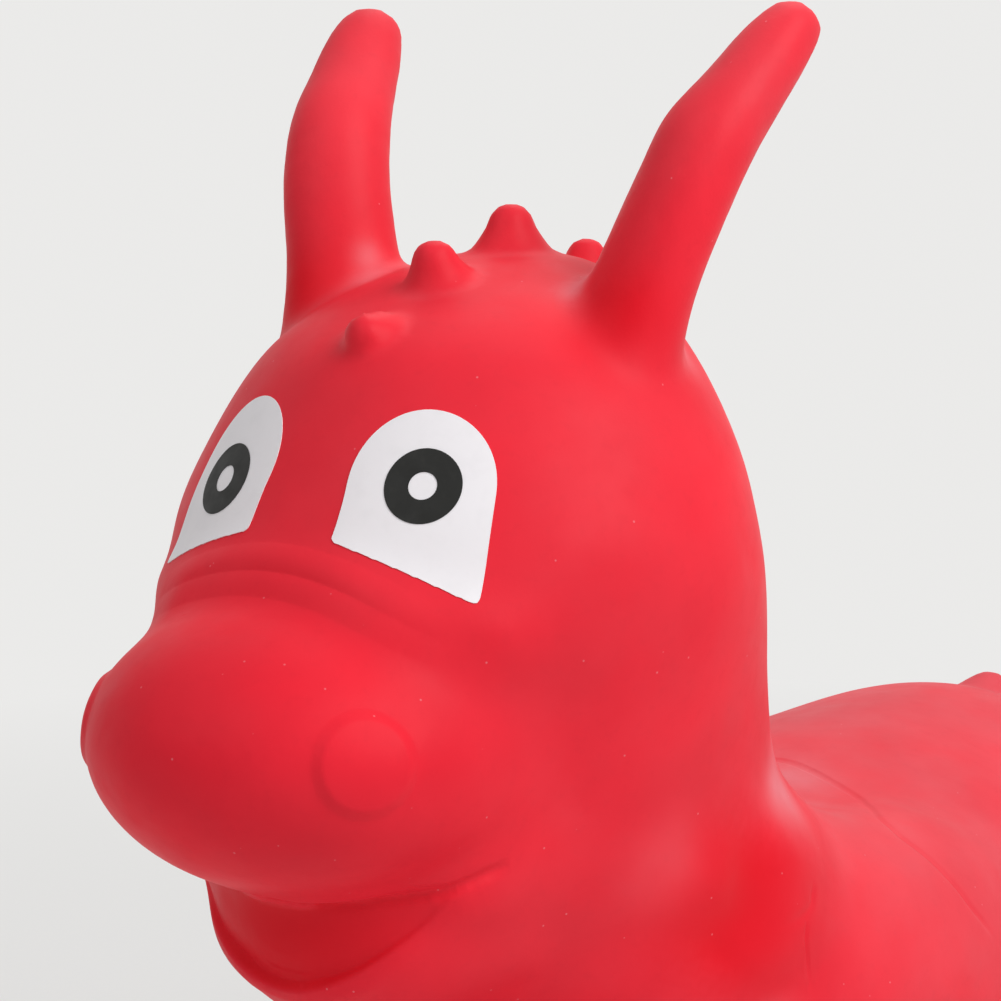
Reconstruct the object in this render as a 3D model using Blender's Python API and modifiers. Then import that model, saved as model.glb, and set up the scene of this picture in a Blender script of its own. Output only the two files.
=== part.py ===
"""Inflatable hopping animal: a hollow moulded skin, its air plug, and stuck-on eyes.

The animal stands on the floor, faces -Y, and has its left side at +X. Lengths are in metres.
"""
import math

import bmesh
import bpy
from mathutils import Matrix, Vector
from mathutils.bvhtree import BVHTree

# Main sizes: the forms below are drawn near full size, then the skin is stretched to this box
WIDTH = 0.2624
LENGTH = 0.5960
HEIGHT = 0.5525

# Trunk, a barrel that lies along Y, with a back that rises to the rump
BACK_HEIGHT = 0.2306
BELLY_HEIGHT = 0.078
TRUNK_HALF_WIDTH = 0.124
CHEST_Y = -0.165
RUMP_Y = 0.300
CHEST_BLUNTNESS = 3.3
RUMP_BLUNTNESS = 5.0
BACK_RISE = 0.022

# Swellings beside the foot of the neck
SHOULDER_MIDDLE = (0.066, 0.040, 0.166)
SHOULDER_RADII = (0.059, 0.140, 0.064)

# Legs, which spread a little towards the floor
FRONT_LEG_Y = -0.070
HIND_LEG_Y = 0.190
LEG_X = 0.070
LEG_SPREAD = 0.012
LEG_STRIDE = 0.026
HIP_RADIUS = 0.030
THIGH_RADIUS = 0.060
ANKLE_RADIUS = 0.044
FOOT_RADIUS = 0.050
FOOT_HEIGHT = 0.022
THIGH_HEIGHT = 0.130
HIP_HEIGHT = 0.180
SOLE_CUT = 0.006

# Neck and head: height, middle in Y, half depth, half width
NECK_AND_HEAD = (
    (0.150, -0.052, 0.082, 0.086),
    (0.195, -0.051, 0.119, 0.108),
    (0.222, -0.062, 0.124, 0.107),
    (0.240, -0.0765, 0.119, 0.1065),
    (0.262, -0.0925, 0.1120, 0.0995),
    (0.300, -0.1085, 0.1113, 0.1060),
    (0.330, -0.1152, 0.1069, 0.1120),
    (0.352, -0.1186, 0.1029, 0.1140),
    (0.370, -0.1183, 0.0982, 0.1108),
    (0.388, -0.1150, 0.0916, 0.1046),
    (0.412, -0.1119, 0.0808, 0.0921),
    (0.430, -0.1065, 0.0730, 0.0776),
    (0.446, -0.096, 0.0560, 0.0580),
    (0.457, -0.089, 0.031, 0.035),
)
CROWN_CAP = 0.005

# Snout, lower jaw and cheeks: place in Y, middle height, half height, half width
SNOUT = (
    (-0.105, 0.298, 0.053, 0.089),
    (-0.150, 0.296, 0.058, 0.086),
    (-0.185, 0.2955, 0.0575, 0.082),
    (-0.215, 0.2955, 0.0545, 0.0790),
    (-0.243, 0.2960, 0.0475, 0.0710),
    (-0.264, 0.2970, 0.0370, 0.0555),
    (-0.277, 0.2980, 0.0240, 0.0370),
    (-0.2840, 0.2985, 0.0115, 0.0175),
)
JAW = (
    (-0.095, 0.239, 0.055, 0.086),
    (-0.150, 0.236, 0.052, 0.076),
    (-0.190, 0.230, 0.043, 0.0620),
    (-0.212, 0.229, 0.032, 0.0465),
    (-0.225, 0.231, 0.017, 0.0240),
)
CHEEK = (
    (-0.100, 0.262, 0.050, 0.088),
    (-0.150, 0.262, 0.050, 0.083),
    (-0.176, 0.260, 0.042, 0.073),
    (-0.190, 0.258, 0.030, 0.058),
)
SNOUT_CAP = 0.0015
JAW_CAP = 0.004
CHEEK_CAP = 0.005

# Bridge that fills the face between the eyes and the snout, measured as the snout is
BRIDGE = (
    (-0.120, 0.337, 0.030, 0.084),
    (-0.170, 0.338, 0.0404, 0.0919),
    (-0.200, 0.337, 0.0320, 0.0828),
    (-0.222, 0.335, 0.0300, 0.0586),
)
BRIDGE_CAP = 0.008

# Ears, the two handles: place in X, Y and Z, and radius
EAR = (
    (0.057, -0.113, 0.405, 0.034),
    (0.0635, -0.109, 0.430, 0.0262),
    (0.0705, -0.1035, 0.455, 0.0222),
    (0.0795, -0.0963, 0.4825, 0.0212),
    (0.0858, -0.0865, 0.504, 0.0202),
    (0.0908, -0.0735, 0.520, 0.0180),
    (0.0953, -0.0605, 0.535, 0.0160),
    (0.0985, -0.0505, 0.545, 0.0120),
)
EAR_FLATNESS = 0.83
EAR_BROAD_TURN = math.radians(-37.0)
EAR_CAP = 0.006

# Tail stub: place in Y and Z, and radius
TAIL = (
    (0.235, 0.186, 0.026),
    (0.270, 0.205, 0.023),
    (0.292, 0.221, 0.019),
    (0.304, 0.231, 0.0125),
)
TAIL_CAP = 0.005

# Mane bumps on the crown: place in Y, base radius, height and tip radius
MANE_BUMPS = (
    (-0.1775, 0.0095, 0.0150, 0.0080),
    (-0.134, 0.0130, 0.0160, 0.0085),
    (-0.090, 0.0150, 0.0185, 0.0093),
    (-0.044, 0.0120, 0.0165, 0.0085),
)
BUMP_FOOT_FLARE = 1.25

# Two folds over the root of the snout, between three valleys that drop towards the cheeks
FOLD_TOP = 0.3665
FOLD_STEP = 0.0085
FOLD_COUNT = 2
FOLD_HEIGHT = 0.0015
FOLD_HALF_SPAN = 0.074
FOLD_DROP = 0.0275
FOLD_BACK_Y = -0.165

# Raised nostril discs, found along a line from inside the snout
NOSTRIL_TURN = math.radians(43.0)
NOSTRIL_RISE = math.radians(5.0)
NOSTRIL_RADIUS = 0.0125
NOSTRIL_HEIGHT = 0.0024

# Open smile under the snout
MOUTH_HALF_WIDTH = 0.060
MOUTH_TOP = 0.2535
MOUTH_BOTTOM = 0.2075
MOUTH_DEPTH = 0.0045
LIP_WIDTH = 0.011
LIP_HEIGHT = 0.0030
EMBOSS_EDGE = 0.004
MOUTH_FACING = 0.6

# Skin
WALL = 0.0016
SKIN_TRIANGLES = 5900
VALVE_Y = 0.1174 * LENGTH
VALVE_BOSS_RADIUS = 0.0130
VALVE_BOSS_PROUD = 0.0010
VALVE_BOSS_LENGTH = 0.0090
VALVE_BORE_RADIUS = 0.0045

# Air plug
PLUG_CLEARANCE = 0.0003
PLUG_HEAD_RADIUS = 0.0110
PLUG_HEAD_THICKNESS = 0.0024
PLUG_RIB_HEIGHT = 0.0005
PLUG_RIBS = 3
PLUG_SHANK_LENGTH = 0.0150
PLUG_TIP_LENGTH = 0.0030
PLUG_TIP_SHARE = 0.6
PLUG_EDGE = 0.0007

# Eye films and printed pupils
EYE_X = 0.1658 * WIDTH
EYE_Z = 0.7021 * HEIGHT
EYE_TURN = math.radians(21.0)
EYE_TILT = math.radians(25.0)
EYE_HALF_WIDTH = 0.0266
EYE_RIGHT_NARROWING = 0.0026
EYE_ARCH = 0.0284
EYE_SHIFT = -0.0014
EYE_INNER_FLARE = 0.0025
EYE_INNER_DROP = 0.0208
EYE_OUTER_DROP = 0.0406
EYE_OUTER_TUCK = 0.0012
EYE_INNER_BOW = 1.5
EYE_OUTER_BOW = 2.0
FILM_GAP = 0.0008
FILM_THICKNESS = 0.0003
PUPIL_RADIUS = 0.0138
PUPIL_HOLE_RADIUS = 0.0051
PUPIL_RIGHT_DROP = 0.0038

# Mesh fineness
SECTION_POINTS = 40
STEPS_PER_STATION = 5
CAP_STEPS = 5
TRUNK_SECTIONS = 40
BODY_VOXEL = 0.0045
BODY_SMOOTHING_STEPS = 12
LIMB_VOXEL = 0.0040
LIMB_SMOOTHING_STEPS = 5
DETAIL_VOXEL = 0.0030
DETAIL_SMOOTHING_STEPS = 2
BORE_POINTS = 32
PLUG_STEPS = 20
OUTLINE_POINTS = 15
FILM_RING_SHARES = (0.12, 0.35, 0.57, 0.79, 1.0)
PUPIL_POINTS = 28
PUPIL_RINGS = 2
SHARP_ANGLE = math.radians(40.0)
FAR_AWAY = 2.0
MERGE_DISTANCE = 0.00001

RED = (0.80, 0.030, 0.050, 1.0)
WHITE = (0.86, 0.86, 0.86, 1.0)
BLACK = (0.030, 0.030, 0.028, 1.0)


def clear_scene():
    """Remove whatever the scene holds."""
    for item in list(bpy.data.objects):
        bpy.data.objects.remove(item, do_unlink=True)


def make_collection(name):
    """Return a new collection linked to the scene."""
    collection = bpy.data.collections.new(name)
    bpy.context.scene.collection.children.link(collection)
    return collection


def make_material(name, colour, roughness):
    """Return a Principled material."""
    material = bpy.data.materials.new(name)
    material.use_nodes = True
    shader = material.node_tree.nodes["Principled BSDF"]
    shader.inputs["Base Color"].default_value = colour
    shader.inputs["Roughness"].default_value = roughness
    shader.inputs["Metallic"].default_value = 0.0
    material.diffuse_color = colour
    return material


def add_object(name, bm, collection):
    """Make an object from a bmesh and free the bmesh."""
    mesh = bpy.data.meshes.new(name)
    bm.to_mesh(mesh)
    bm.free()
    item = bpy.data.objects.new(name, mesh)
    collection.objects.link(item)
    return item


def evaluated_mesh(item):
    """Return a plain mesh of an object with its modifiers applied."""
    graph = bpy.context.evaluated_depsgraph_get()
    return bpy.data.meshes.new_from_object(item.evaluated_get(graph))


def bake_modifiers(item):
    """Replace an object's mesh by its evaluated mesh and drop the modifiers."""
    item.data = evaluated_mesh(item)
    item.modifiers.clear()


def spline_through(stations, steps):
    """Return stations interpolated by a Catmull-Rom curve."""
    count = len(stations)
    dense = []
    for index in range(count - 1):
        before = stations[max(index - 1, 0)]
        start = stations[index]
        end = stations[index + 1]
        after = stations[min(index + 2, count - 1)]
        for step in range(steps):
            t = step / steps
            dense.append(tuple(
                0.5 * (2 * b + (c - a) * t + (2 * a - 5 * b + 4 * c - d) * t ** 2
                       + (3 * b - a - 3 * c + d) * t ** 3)
                for a, b, c, d in zip(before, start, end, after)))
    dense.append(tuple(stations[-1]))
    return dense


def loft(name, sections, collection):
    """Make a closed body through elliptical sections: middle, half width and half height vectors."""
    bm = bmesh.new()
    rings = []
    for middle, across, upward in sections:
        ring = []
        for index in range(SECTION_POINTS):
            angle = 2 * math.pi * index / SECTION_POINTS
            ring.append(bm.verts.new(middle + across * math.cos(angle) + upward * math.sin(angle)))
        rings.append(ring)
    for lower, upper in zip(rings, rings[1:]):
        for index in range(SECTION_POINTS):
            following = (index + 1) % SECTION_POINTS
            bm.faces.new((lower[index], lower[following], upper[following], upper[index]))
    bm.faces.new(rings[0])
    bm.faces.new(rings[-1])
    bmesh.ops.recalc_face_normals(bm, faces=bm.faces)
    return add_object(name, bm, collection)


def round_cap(section, before, length):
    """Return sections that round off the end of a loft over a given length."""
    middle, across, upward = section
    outward = (middle - before[0]).normalized()
    caps = []
    for step in range(1, CAP_STEPS + 1):
        angle = 0.5 * math.pi * step / (CAP_STEPS + 0.3)
        shrink = math.cos(angle)
        caps.append((middle + outward * length * math.sin(angle), across * shrink, upward * shrink))
    return caps


def tube(name, stations, cap_length, broad, flatness, collection):
    """Loft sections square to a path of places and radii, with a round far end.

    The sections have their full radius along the broad direction, and are flatter across it.
    """
    dense = spline_through(stations, STEPS_PER_STATION)
    sections = []
    for index, (x, y, z, radius) in enumerate(dense):
        first = Vector(dense[max(index - 1, 0)][:3])
        last = Vector(dense[min(index + 1, len(dense) - 1)][:3])
        along = (last - first).normalized()
        across = (broad - along * broad.dot(along)).normalized()
        upward = along.cross(across)
        sections.append((Vector((x, y, z)), across * radius, upward * radius * flatness))
    sections += round_cap(sections[-1], sections[-2], cap_length)
    return loft(name, sections, collection)


def make_ear(side, collection):
    """Long ear that serves as a handle."""
    stations = [(side * x, y, z, radius) for x, y, z, radius in EAR]
    broad = Vector((side * math.cos(EAR_BROAD_TURN), math.sin(EAR_BROAD_TURN), 0))
    return tube("ear_form", stations, EAR_CAP, broad, EAR_FLATNESS, collection)


def make_tail(collection):
    """Stub at the top of the rump."""
    stations = [(0, y, z, radius) for y, z, radius in TAIL]
    return tube("tail_form", stations, TAIL_CAP, Vector((1, 0, 0)), 1.0, collection)


def make_trunk(collection):
    """Barrel with blunt ends."""
    half_length = 0.5 * (RUMP_Y - CHEST_Y)
    middle_y = 0.5 * (RUMP_Y + CHEST_Y)
    half_height = 0.5 * (BACK_HEIGHT - BELLY_HEIGHT)
    middle_z = 0.5 * (BACK_HEIGHT + BELLY_HEIGHT)
    sections = []
    for index in range(1, TRUNK_SECTIONS):
        t = -math.cos(math.pi * index / TRUNK_SECTIONS)
        bluntness = CHEST_BLUNTNESS if t < 0 else RUMP_BLUNTNESS
        size = (1 - abs(t) ** bluntness) ** (1 / bluntness)
        rise = 0.5 * BACK_RISE * t
        sections.append((Vector((0, middle_y + half_length * t, middle_z + rise)),
                         Vector((TRUNK_HALF_WIDTH * size, 0, 0)),
                         Vector((0, 0, (half_height + rise) * size))))
    return loft("trunk_form", sections, collection)


def make_shoulder(side, collection):
    """Long egg that swells the trunk beside the foot of the neck."""
    x, y, z = SHOULDER_MIDDLE
    bm = bmesh.new()
    bmesh.ops.create_uvsphere(bm, u_segments=SECTION_POINTS, v_segments=SECTION_POINTS // 2, radius=1.0)
    bm.transform(Matrix.Translation((side * x, y, z)) @ Matrix.Diagonal((*SHOULDER_RADII, 1.0)))
    return add_object("shoulder_form", bm, collection)


def make_leg(side, hip_y, stride, collection):
    """Short leg that narrows to the ankle and swells to the foot."""
    stations = []
    for height, radius in ((HIP_HEIGHT, HIP_RADIUS),
                           (THIGH_HEIGHT, THIGH_RADIUS),
                           (0.5 * THIGH_HEIGHT, 0.5 * (THIGH_RADIUS + ANKLE_RADIUS)),
                           (2.0 * FOOT_HEIGHT, ANKLE_RADIUS),
                           (FOOT_HEIGHT, FOOT_RADIUS)):
        share = 1 - height / THIGH_HEIGHT
        stations.append((side * (LEG_X + LEG_SPREAD * share), hip_y + stride * share, height, radius))
    sections = [(Vector((x, y, z)), Vector((radius, 0, 0)), Vector((0, radius, 0)))
                for x, y, z, radius in spline_through(stations, STEPS_PER_STATION)]
    sections += round_cap(sections[-1], sections[-2], FOOT_HEIGHT + SOLE_CUT)
    return loft("leg_form", sections, collection)


def make_upright(name, stations, cap_length, collection):
    """Loft flat sections stacked in height: height, middle Y, half depth, half width."""
    sections = [(Vector((0, y, z)), Vector((width, 0, 0)), Vector((0, depth, 0)))
                for z, y, depth, width in spline_through(stations, STEPS_PER_STATION)]
    sections += round_cap(sections[-1], sections[-2], cap_length)
    return loft(name, sections, collection)


def make_forward(name, stations, cap_length, collection):
    """Loft upright sections along Y: place in Y, middle height, half height, half width."""
    sections = [(Vector((0, y, z)), Vector((width, 0, 0)), Vector((0, 0, height)))
                for y, z, height, width in spline_through(stations, STEPS_PER_STATION)]
    sections += round_cap(sections[-1], sections[-2], cap_length)
    return loft(name, sections, collection)


def surface_of(item):
    """Return a search tree of an object's finished faces."""
    bm = bmesh.new()
    bm.from_mesh(evaluated_mesh(item))
    tree = BVHTree.FromBMesh(bm)
    bm.free()
    return tree


def make_bump(tree, y, radius, height, tip_radius, collection):
    """Blunt cone that stands square on the crown."""
    spot, normal = tree.ray_cast(Vector((0, y, FAR_AWAY)), Vector((0, 0, -1)))[:2]
    normal = Vector((0, normal.y, normal.z)).normalized()
    across = Vector((1, 0, 0))
    upward = normal.cross(across)
    sections = []
    for lift, size in ((-radius, BUMP_FOOT_FLARE * radius), (0.0, radius), (height - tip_radius, tip_radius)):
        sections.append((spot + normal * lift, across * size, upward * size))
    sections += round_cap(sections[-1], sections[-2], tip_radius)
    return loft("bump_form", sections, collection)


def nostril_places(tree):
    """Return the middle and normal of each nostril disc on the snout."""
    middle = Vector((0, SNOUT[2][0], SNOUT[2][1]))
    places = []
    for side in (-1, 1):
        outward = Vector((side * math.sin(NOSTRIL_TURN) * math.cos(NOSTRIL_RISE),
                          -math.cos(NOSTRIL_TURN) * math.cos(NOSTRIL_RISE),
                          math.sin(NOSTRIL_RISE)))
        places.append(tree.ray_cast(middle, outward)[:2])
    return places


def ease(value, start, end):
    """Rise smoothly from 0 at start to 1 at end."""
    t = min(max((value - start) / (end - start), 0.0), 1.0)
    return t * t * (3 - 2 * t)


def nostril_lift(spot, places):
    """Return how far a point of the snout is raised by the nearer nostril disc."""
    lift = 0.0
    for middle, normal in places:
        offset = spot - middle
        height = offset.dot(normal)
        radius = (offset - normal * height).length
        if abs(height) < NOSTRIL_RADIUS:
            lift += NOSTRIL_HEIGHT * ease(radius, NOSTRIL_RADIUS + EMBOSS_EDGE, NOSTRIL_RADIUS)
    return lift


def fold_lift(spot):
    """Return how far a point of the face is raised by the folds over the snout."""
    across = abs(spot.x) / FOLD_HALF_SPAN
    if across > 1 or spot.y > FOLD_BACK_Y:
        return 0.0
    rank = (FOLD_TOP - FOLD_DROP * across ** 2 - spot.z) / FOLD_STEP
    if rank < 0 or rank > FOLD_COUNT:
        return 0.0
    return FOLD_HEIGHT * abs(math.sin(math.pi * rank)) * (1 - across ** 2)


def mouth_lift(spot, normal):
    """Return the sink of the open mouth and the swell of the lower lip at a point of the jaw."""
    across = abs(spot.x) / MOUTH_HALF_WIDTH
    front = JAW[-1][0] - 2 * JAW_CAP
    if across > 1 or not front < spot.y < JAW[1][0] or spot.z > MOUTH_TOP:
        return 0.0
    opening = MOUTH_TOP - MOUTH_BOTTOM
    slope = 2 * opening * across / MOUTH_HALF_WIDTH
    outside = (MOUTH_BOTTOM + opening * across ** 2 - spot.z) / math.hypot(1, slope)
    sink = MOUTH_DEPTH * ease(outside, 0.0, -EMBOSS_EDGE) * (1 - across ** 4)
    swell = LIP_HEIGHT * math.exp(-((outside - 0.5 * LIP_WIDTH) / (0.5 * LIP_WIDTH)) ** 2) * (1 - across ** 2)
    return (swell - sink) * ease(-normal.y, 0.0, MOUTH_FACING)


def emboss_face(item):
    """Raise the nostril discs, the folds and the lower lip, and sink the mouth."""
    places = nostril_places(surface_of(item))
    mesh = item.data
    normals = [vertex.normal.copy() for vertex in mesh.vertices]
    for vertex, normal in zip(mesh.vertices, normals):
        spot = vertex.co
        lift = nostril_lift(spot, places) + fold_lift(spot) + mouth_lift(spot, normal)
        vertex.co = spot + normal * lift


def fuse(name, forms, voxel, smoothing, collection):
    """Merge forms into one skin with soft fillets: voxel remesh, then smoothing."""
    bm = bmesh.new()
    for form in forms:
        bm.from_mesh(form.data)
        bpy.data.objects.remove(form, do_unlink=True)
    item = add_object(name, bm, collection)
    remesh = item.modifiers.new("Remesh", "REMESH")
    remesh.mode = "VOXEL"
    remesh.voxel_size = voxel
    soften = item.modifiers.new("Soften", "SMOOTH")
    soften.factor = 0.5
    soften.iterations = smoothing
    bake_modifiers(item)
    return item


def make_skin_form(collection):
    """Return the outer surface of the skin, with every moulded feature."""
    body = [make_trunk(collection),
            make_upright("neck_form", NECK_AND_HEAD, CROWN_CAP, collection),
            make_forward("jaw_form", JAW, JAW_CAP, collection),
            make_forward("cheek_form", CHEEK, CHEEK_CAP, collection),
            make_forward("snout_form", SNOUT, SNOUT_CAP, collection),
            make_forward("bridge_form", BRIDGE, BRIDGE_CAP, collection)]
    for side in (-1, 1):
        body.append(make_shoulder(side, collection))
        body.append(make_leg(side, FRONT_LEG_Y, -LEG_STRIDE, collection))
        body.append(make_leg(side, HIND_LEG_Y, LEG_STRIDE, collection))
    form = fuse("skin", body, BODY_VOXEL, BODY_SMOOTHING_STEPS, collection)

    limbs = [form, make_tail(collection)]
    limbs += [make_ear(side, collection) for side in (-1, 1)]
    form = fuse("skin", limbs, LIMB_VOXEL, LIMB_SMOOTHING_STEPS, collection)

    tree = surface_of(form)
    details = [form]
    details += [make_bump(tree, *bump, collection) for bump in MANE_BUMPS]
    form = fuse("skin", details, DETAIL_VOXEL, DETAIL_SMOOTHING_STEPS, collection)
    emboss_face(form)
    return form


def cut_soles(item):
    """Cut the feet flat on the floor."""
    bm = bmesh.new()
    bm.from_mesh(item.data)
    parts = bm.verts[:] + bm.edges[:] + bm.faces[:]
    cut = bmesh.ops.bisect_plane(bm, geom=parts, plane_co=(0, 0, 0), plane_no=(0, 0, 1), clear_inner=True)
    edges = [part for part in cut["geom_cut"] if isinstance(part, bmesh.types.BMEdge)]
    bmesh.ops.holes_fill(bm, edges=edges)
    bmesh.ops.triangulate(bm, faces=bm.faces)
    bmesh.ops.recalc_face_normals(bm, faces=bm.faces)
    bm.to_mesh(item.data)
    bm.free()


def fit_to_box(item):
    """Stretch the skin to the main sizes, with the middle of its sole plane on the origin."""
    places = [vertex.co for vertex in item.data.vertices]
    low = Vector([min(place[axis] for place in places) for axis in range(3)])
    high = Vector([max(place[axis] for place in places) for axis in range(3)])
    size = high - low
    stretch = Matrix.Diagonal((WIDTH / size.x, LENGTH / size.y, HEIGHT / size.z, 1.0))
    foot = Vector((0.5 * (low.x + high.x), 0.5 * (low.y + high.y), low.z))
    item.data.transform(stretch @ Matrix.Translation(-foot))


def add_boolean(item, operand, operation):
    """Add an exact Boolean and keep its operand out of the render."""
    boolean = item.modifiers.new(operation.title(), "BOOLEAN")
    boolean.operation = operation
    boolean.solver = "EXACT"
    boolean.object = operand
    operand.hide_render = True
    operand.display_type = "WIRE"


def make_cylinder(name, radius, low, high, y, collection):
    """Upright cylinder on the middle plane."""
    bm = bmesh.new()
    bmesh.ops.create_cone(bm, cap_ends=True, segments=BORE_POINTS, radius1=radius, radius2=radius,
                          depth=high - low, matrix=Matrix.Translation((0, y, 0.5 * (low + high))))
    return add_object(name, bm, collection)


def make_skin(parts, cutters):
    """Hollow skin with flat soles and a valve collar; returns it, its surface and the valve seat."""
    skin = make_skin_form(parts)
    decimate = skin.modifiers.new("Thin out", "DECIMATE")
    decimate.ratio = SKIN_TRIANGLES / (2 * len(skin.data.polygons))
    bake_modifiers(skin)
    cut_soles(skin)
    fit_to_box(skin)
    surface = surface_of(skin)

    belly = surface.ray_cast(Vector((0, VALVE_Y, -FAR_AWAY)), Vector((0, 0, 1)))[0].z
    seat = belly - VALVE_BOSS_PROUD
    hollow = skin.modifiers.new("Wall", "SOLIDIFY")
    hollow.thickness = WALL
    hollow.offset = -1.0
    bake_modifiers(skin)
    collar = make_cylinder("valve_collar", VALVE_BOSS_RADIUS, seat, seat + VALVE_BOSS_LENGTH,
                           VALVE_Y, cutters)
    bore = make_cylinder("valve_bore", VALVE_BORE_RADIUS, seat - VALVE_BOSS_LENGTH,
                         seat + 2 * VALVE_BOSS_LENGTH, VALVE_Y, cutters)
    add_boolean(skin, collar, "UNION")
    add_boolean(skin, bore, "DIFFERENCE")
    return skin, surface, seat


def make_plug(seat, parts):
    """Turned stopper: flat head, ribbed shank and a tapered tip, with its origin on the pull axis."""
    shank_radius = VALVE_BORE_RADIUS - PLUG_CLEARANCE - PLUG_RIB_HEIGHT
    top = PLUG_SHANK_LENGTH
    profile = [(0.0, top), (PLUG_TIP_SHARE * shank_radius, top), (shank_radius, top - PLUG_TIP_LENGTH)]
    pitch = (top - PLUG_TIP_LENGTH) / (PLUG_RIBS + 1)
    for rib in range(PLUG_RIBS):
        height = top - PLUG_TIP_LENGTH - pitch * (rib + 0.5)
        profile += [(shank_radius, height), (shank_radius + PLUG_RIB_HEIGHT, height - 0.25 * pitch),
                    (shank_radius, height - 0.5 * pitch)]
    profile += [(shank_radius, 0.0), (PLUG_HEAD_RADIUS - PLUG_EDGE, 0.0), (PLUG_HEAD_RADIUS, -PLUG_EDGE),
                (PLUG_HEAD_RADIUS, PLUG_EDGE - PLUG_HEAD_THICKNESS),
                (PLUG_HEAD_RADIUS - PLUG_EDGE, -PLUG_HEAD_THICKNESS), (0.0, -PLUG_HEAD_THICKNESS)]
    bm = bmesh.new()
    verts = [bm.verts.new((x, 0, z)) for x, z in profile]
    for first, second in zip(verts, verts[1:]):
        bm.edges.new((first, second))
    plug = add_object("valve_plug", bm, parts)
    plug.location = (0, VALVE_Y, seat - PLUG_CLEARANCE)
    turn = plug.modifiers.new("Turn", "SCREW")
    turn.steps = PLUG_STEPS
    turn.render_steps = PLUG_STEPS
    turn.use_merge_vertices = True
    turn.merge_threshold = MERGE_DISTANCE
    return plug


def eye_outline(points, half_width):
    """Return the film's outline: an arch, two bowed sides and a slanting foot, round the pupil's middle."""
    left = EYE_SHIFT - half_width
    right = EYE_SHIFT + half_width
    inner = (left - EYE_INNER_FLARE, -EYE_INNER_DROP)
    outer = (right - EYE_OUTER_TUCK, -EYE_OUTER_DROP)
    angles = [math.pi * index / points for index in range(points + 1)]
    outline = [(EYE_SHIFT + half_width * math.cos(angle), EYE_ARCH * math.sin(angle)) for angle in angles]
    steps = points // 3
    shares = [step / steps for step in range(1, steps + 1)]
    outline += [(left - EYE_INNER_FLARE * share ** EYE_INNER_BOW, inner[1] * share) for share in shares]
    outline += [(inner[0] + (outer[0] - inner[0]) * share, inner[1] + (outer[1] - inner[1]) * share)
                for share in shares]
    outline += [(right - EYE_OUTER_TUCK * (1 - share) ** EYE_OUTER_BOW, outer[1] * (1 - share))
                for share in shares[:-1]]
    return outline


def make_film(name, side, middle, surface, outlines, closed, parts):
    """Thin film through nested outlines, laid on a surface and thickened away from it."""
    normal = Vector((side * math.sin(EYE_TURN) * math.cos(EYE_TILT),
                     -math.cos(EYE_TURN) * math.cos(EYE_TILT), math.sin(EYE_TILT)))
    across = Vector((side * math.cos(EYE_TURN), math.sin(EYE_TURN), 0))
    upward = normal.cross(across) * side
    bm = bmesh.new()
    rings = []
    for outline in outlines:
        ring = []
        for u, v in outline:
            start = middle + across * u + upward * v + normal * EYE_HALF_WIDTH
            spot = surface.ray_cast(start, -normal)[0]
            ring.append(bm.verts.new(spot + normal * FILM_GAP))
        rings.append(ring)
    count = len(outlines[0])
    for inner, outer in zip(rings, rings[1:]):
        for index in range(count):
            following = (index + 1) % count
            bm.faces.new((inner[index], inner[following], outer[following], outer[index]))
    if closed:
        bm.faces.new(rings[0])
    bmesh.ops.triangulate(bm, faces=bm.faces)
    for face in bm.faces:
        face.normal_update()
        if face.normal.dot(normal) < 0:
            face.normal_flip()
    film = add_object(name, bm, parts)
    thicken = film.modifiers.new("Thickness", "SOLIDIFY")
    thicken.thickness = FILM_THICKNESS
    thicken.offset = 1.0
    return film


def make_eye(side, word, surface, parts):
    """One white film and the black ring on it; the right film is narrower and has its ring lower."""
    start = Vector((side * EYE_X, -FAR_AWAY, EYE_Z))
    middle = surface.ray_cast(start, Vector((0, 1, 0)))[0]
    narrowing = EYE_RIGHT_NARROWING if side < 0 else 0.0
    drop = PUPIL_RIGHT_DROP if side < 0 else 0.0
    outline = eye_outline(OUTLINE_POINTS, EYE_HALF_WIDTH - narrowing)
    nested = [[(u * share, v * share) for u, v in outline] for share in FILM_RING_SHARES]
    film = make_film("eye_" + word, side, middle, surface, nested, True, parts)
    circles = []
    for step in range(PUPIL_RINGS + 1):
        radius = PUPIL_HOLE_RADIUS + (PUPIL_RADIUS - PUPIL_HOLE_RADIUS) * step / PUPIL_RINGS
        angles = [2 * math.pi * index / PUPIL_POINTS for index in range(PUPIL_POINTS)]
        circles.append([(radius * math.cos(angle), radius * math.sin(angle) - drop) for angle in angles])
    top = surface_of(film)
    pupil = make_film("pupil_" + word, side, middle, top, circles, False, parts)
    return film, pupil


def finish(item, material):
    """Give a piece its material and smooth shading."""
    item.data.materials.clear()
    item.data.materials.append(material)
    item.data.shade_smooth()
    item.data.set_sharp_from_angle(angle=SHARP_ANGLE)


def main():
    """Build the hopper."""
    clear_scene()
    parts = make_collection("animal_hopper")
    cutters = make_collection("cutters")
    skin, surface, seat = make_skin(parts, cutters)
    finish(skin, make_material("red_vinyl", RED, 0.45))
    finish(make_plug(seat, parts), make_material("white_stopper", WHITE, 0.40))
    for side, word in ((1, "left"), (-1, "right")):
        film, pupil = make_eye(side, word, surface, parts)
        finish(film, make_material("white_film_" + word, WHITE, 0.35))
        finish(pupil, make_material("black_print_" + word, BLACK, 0.45))


main()
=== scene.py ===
import math
from collections import namedtuple

import bpy
import numpy as np
from mathutils import Matrix, Vector


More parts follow.
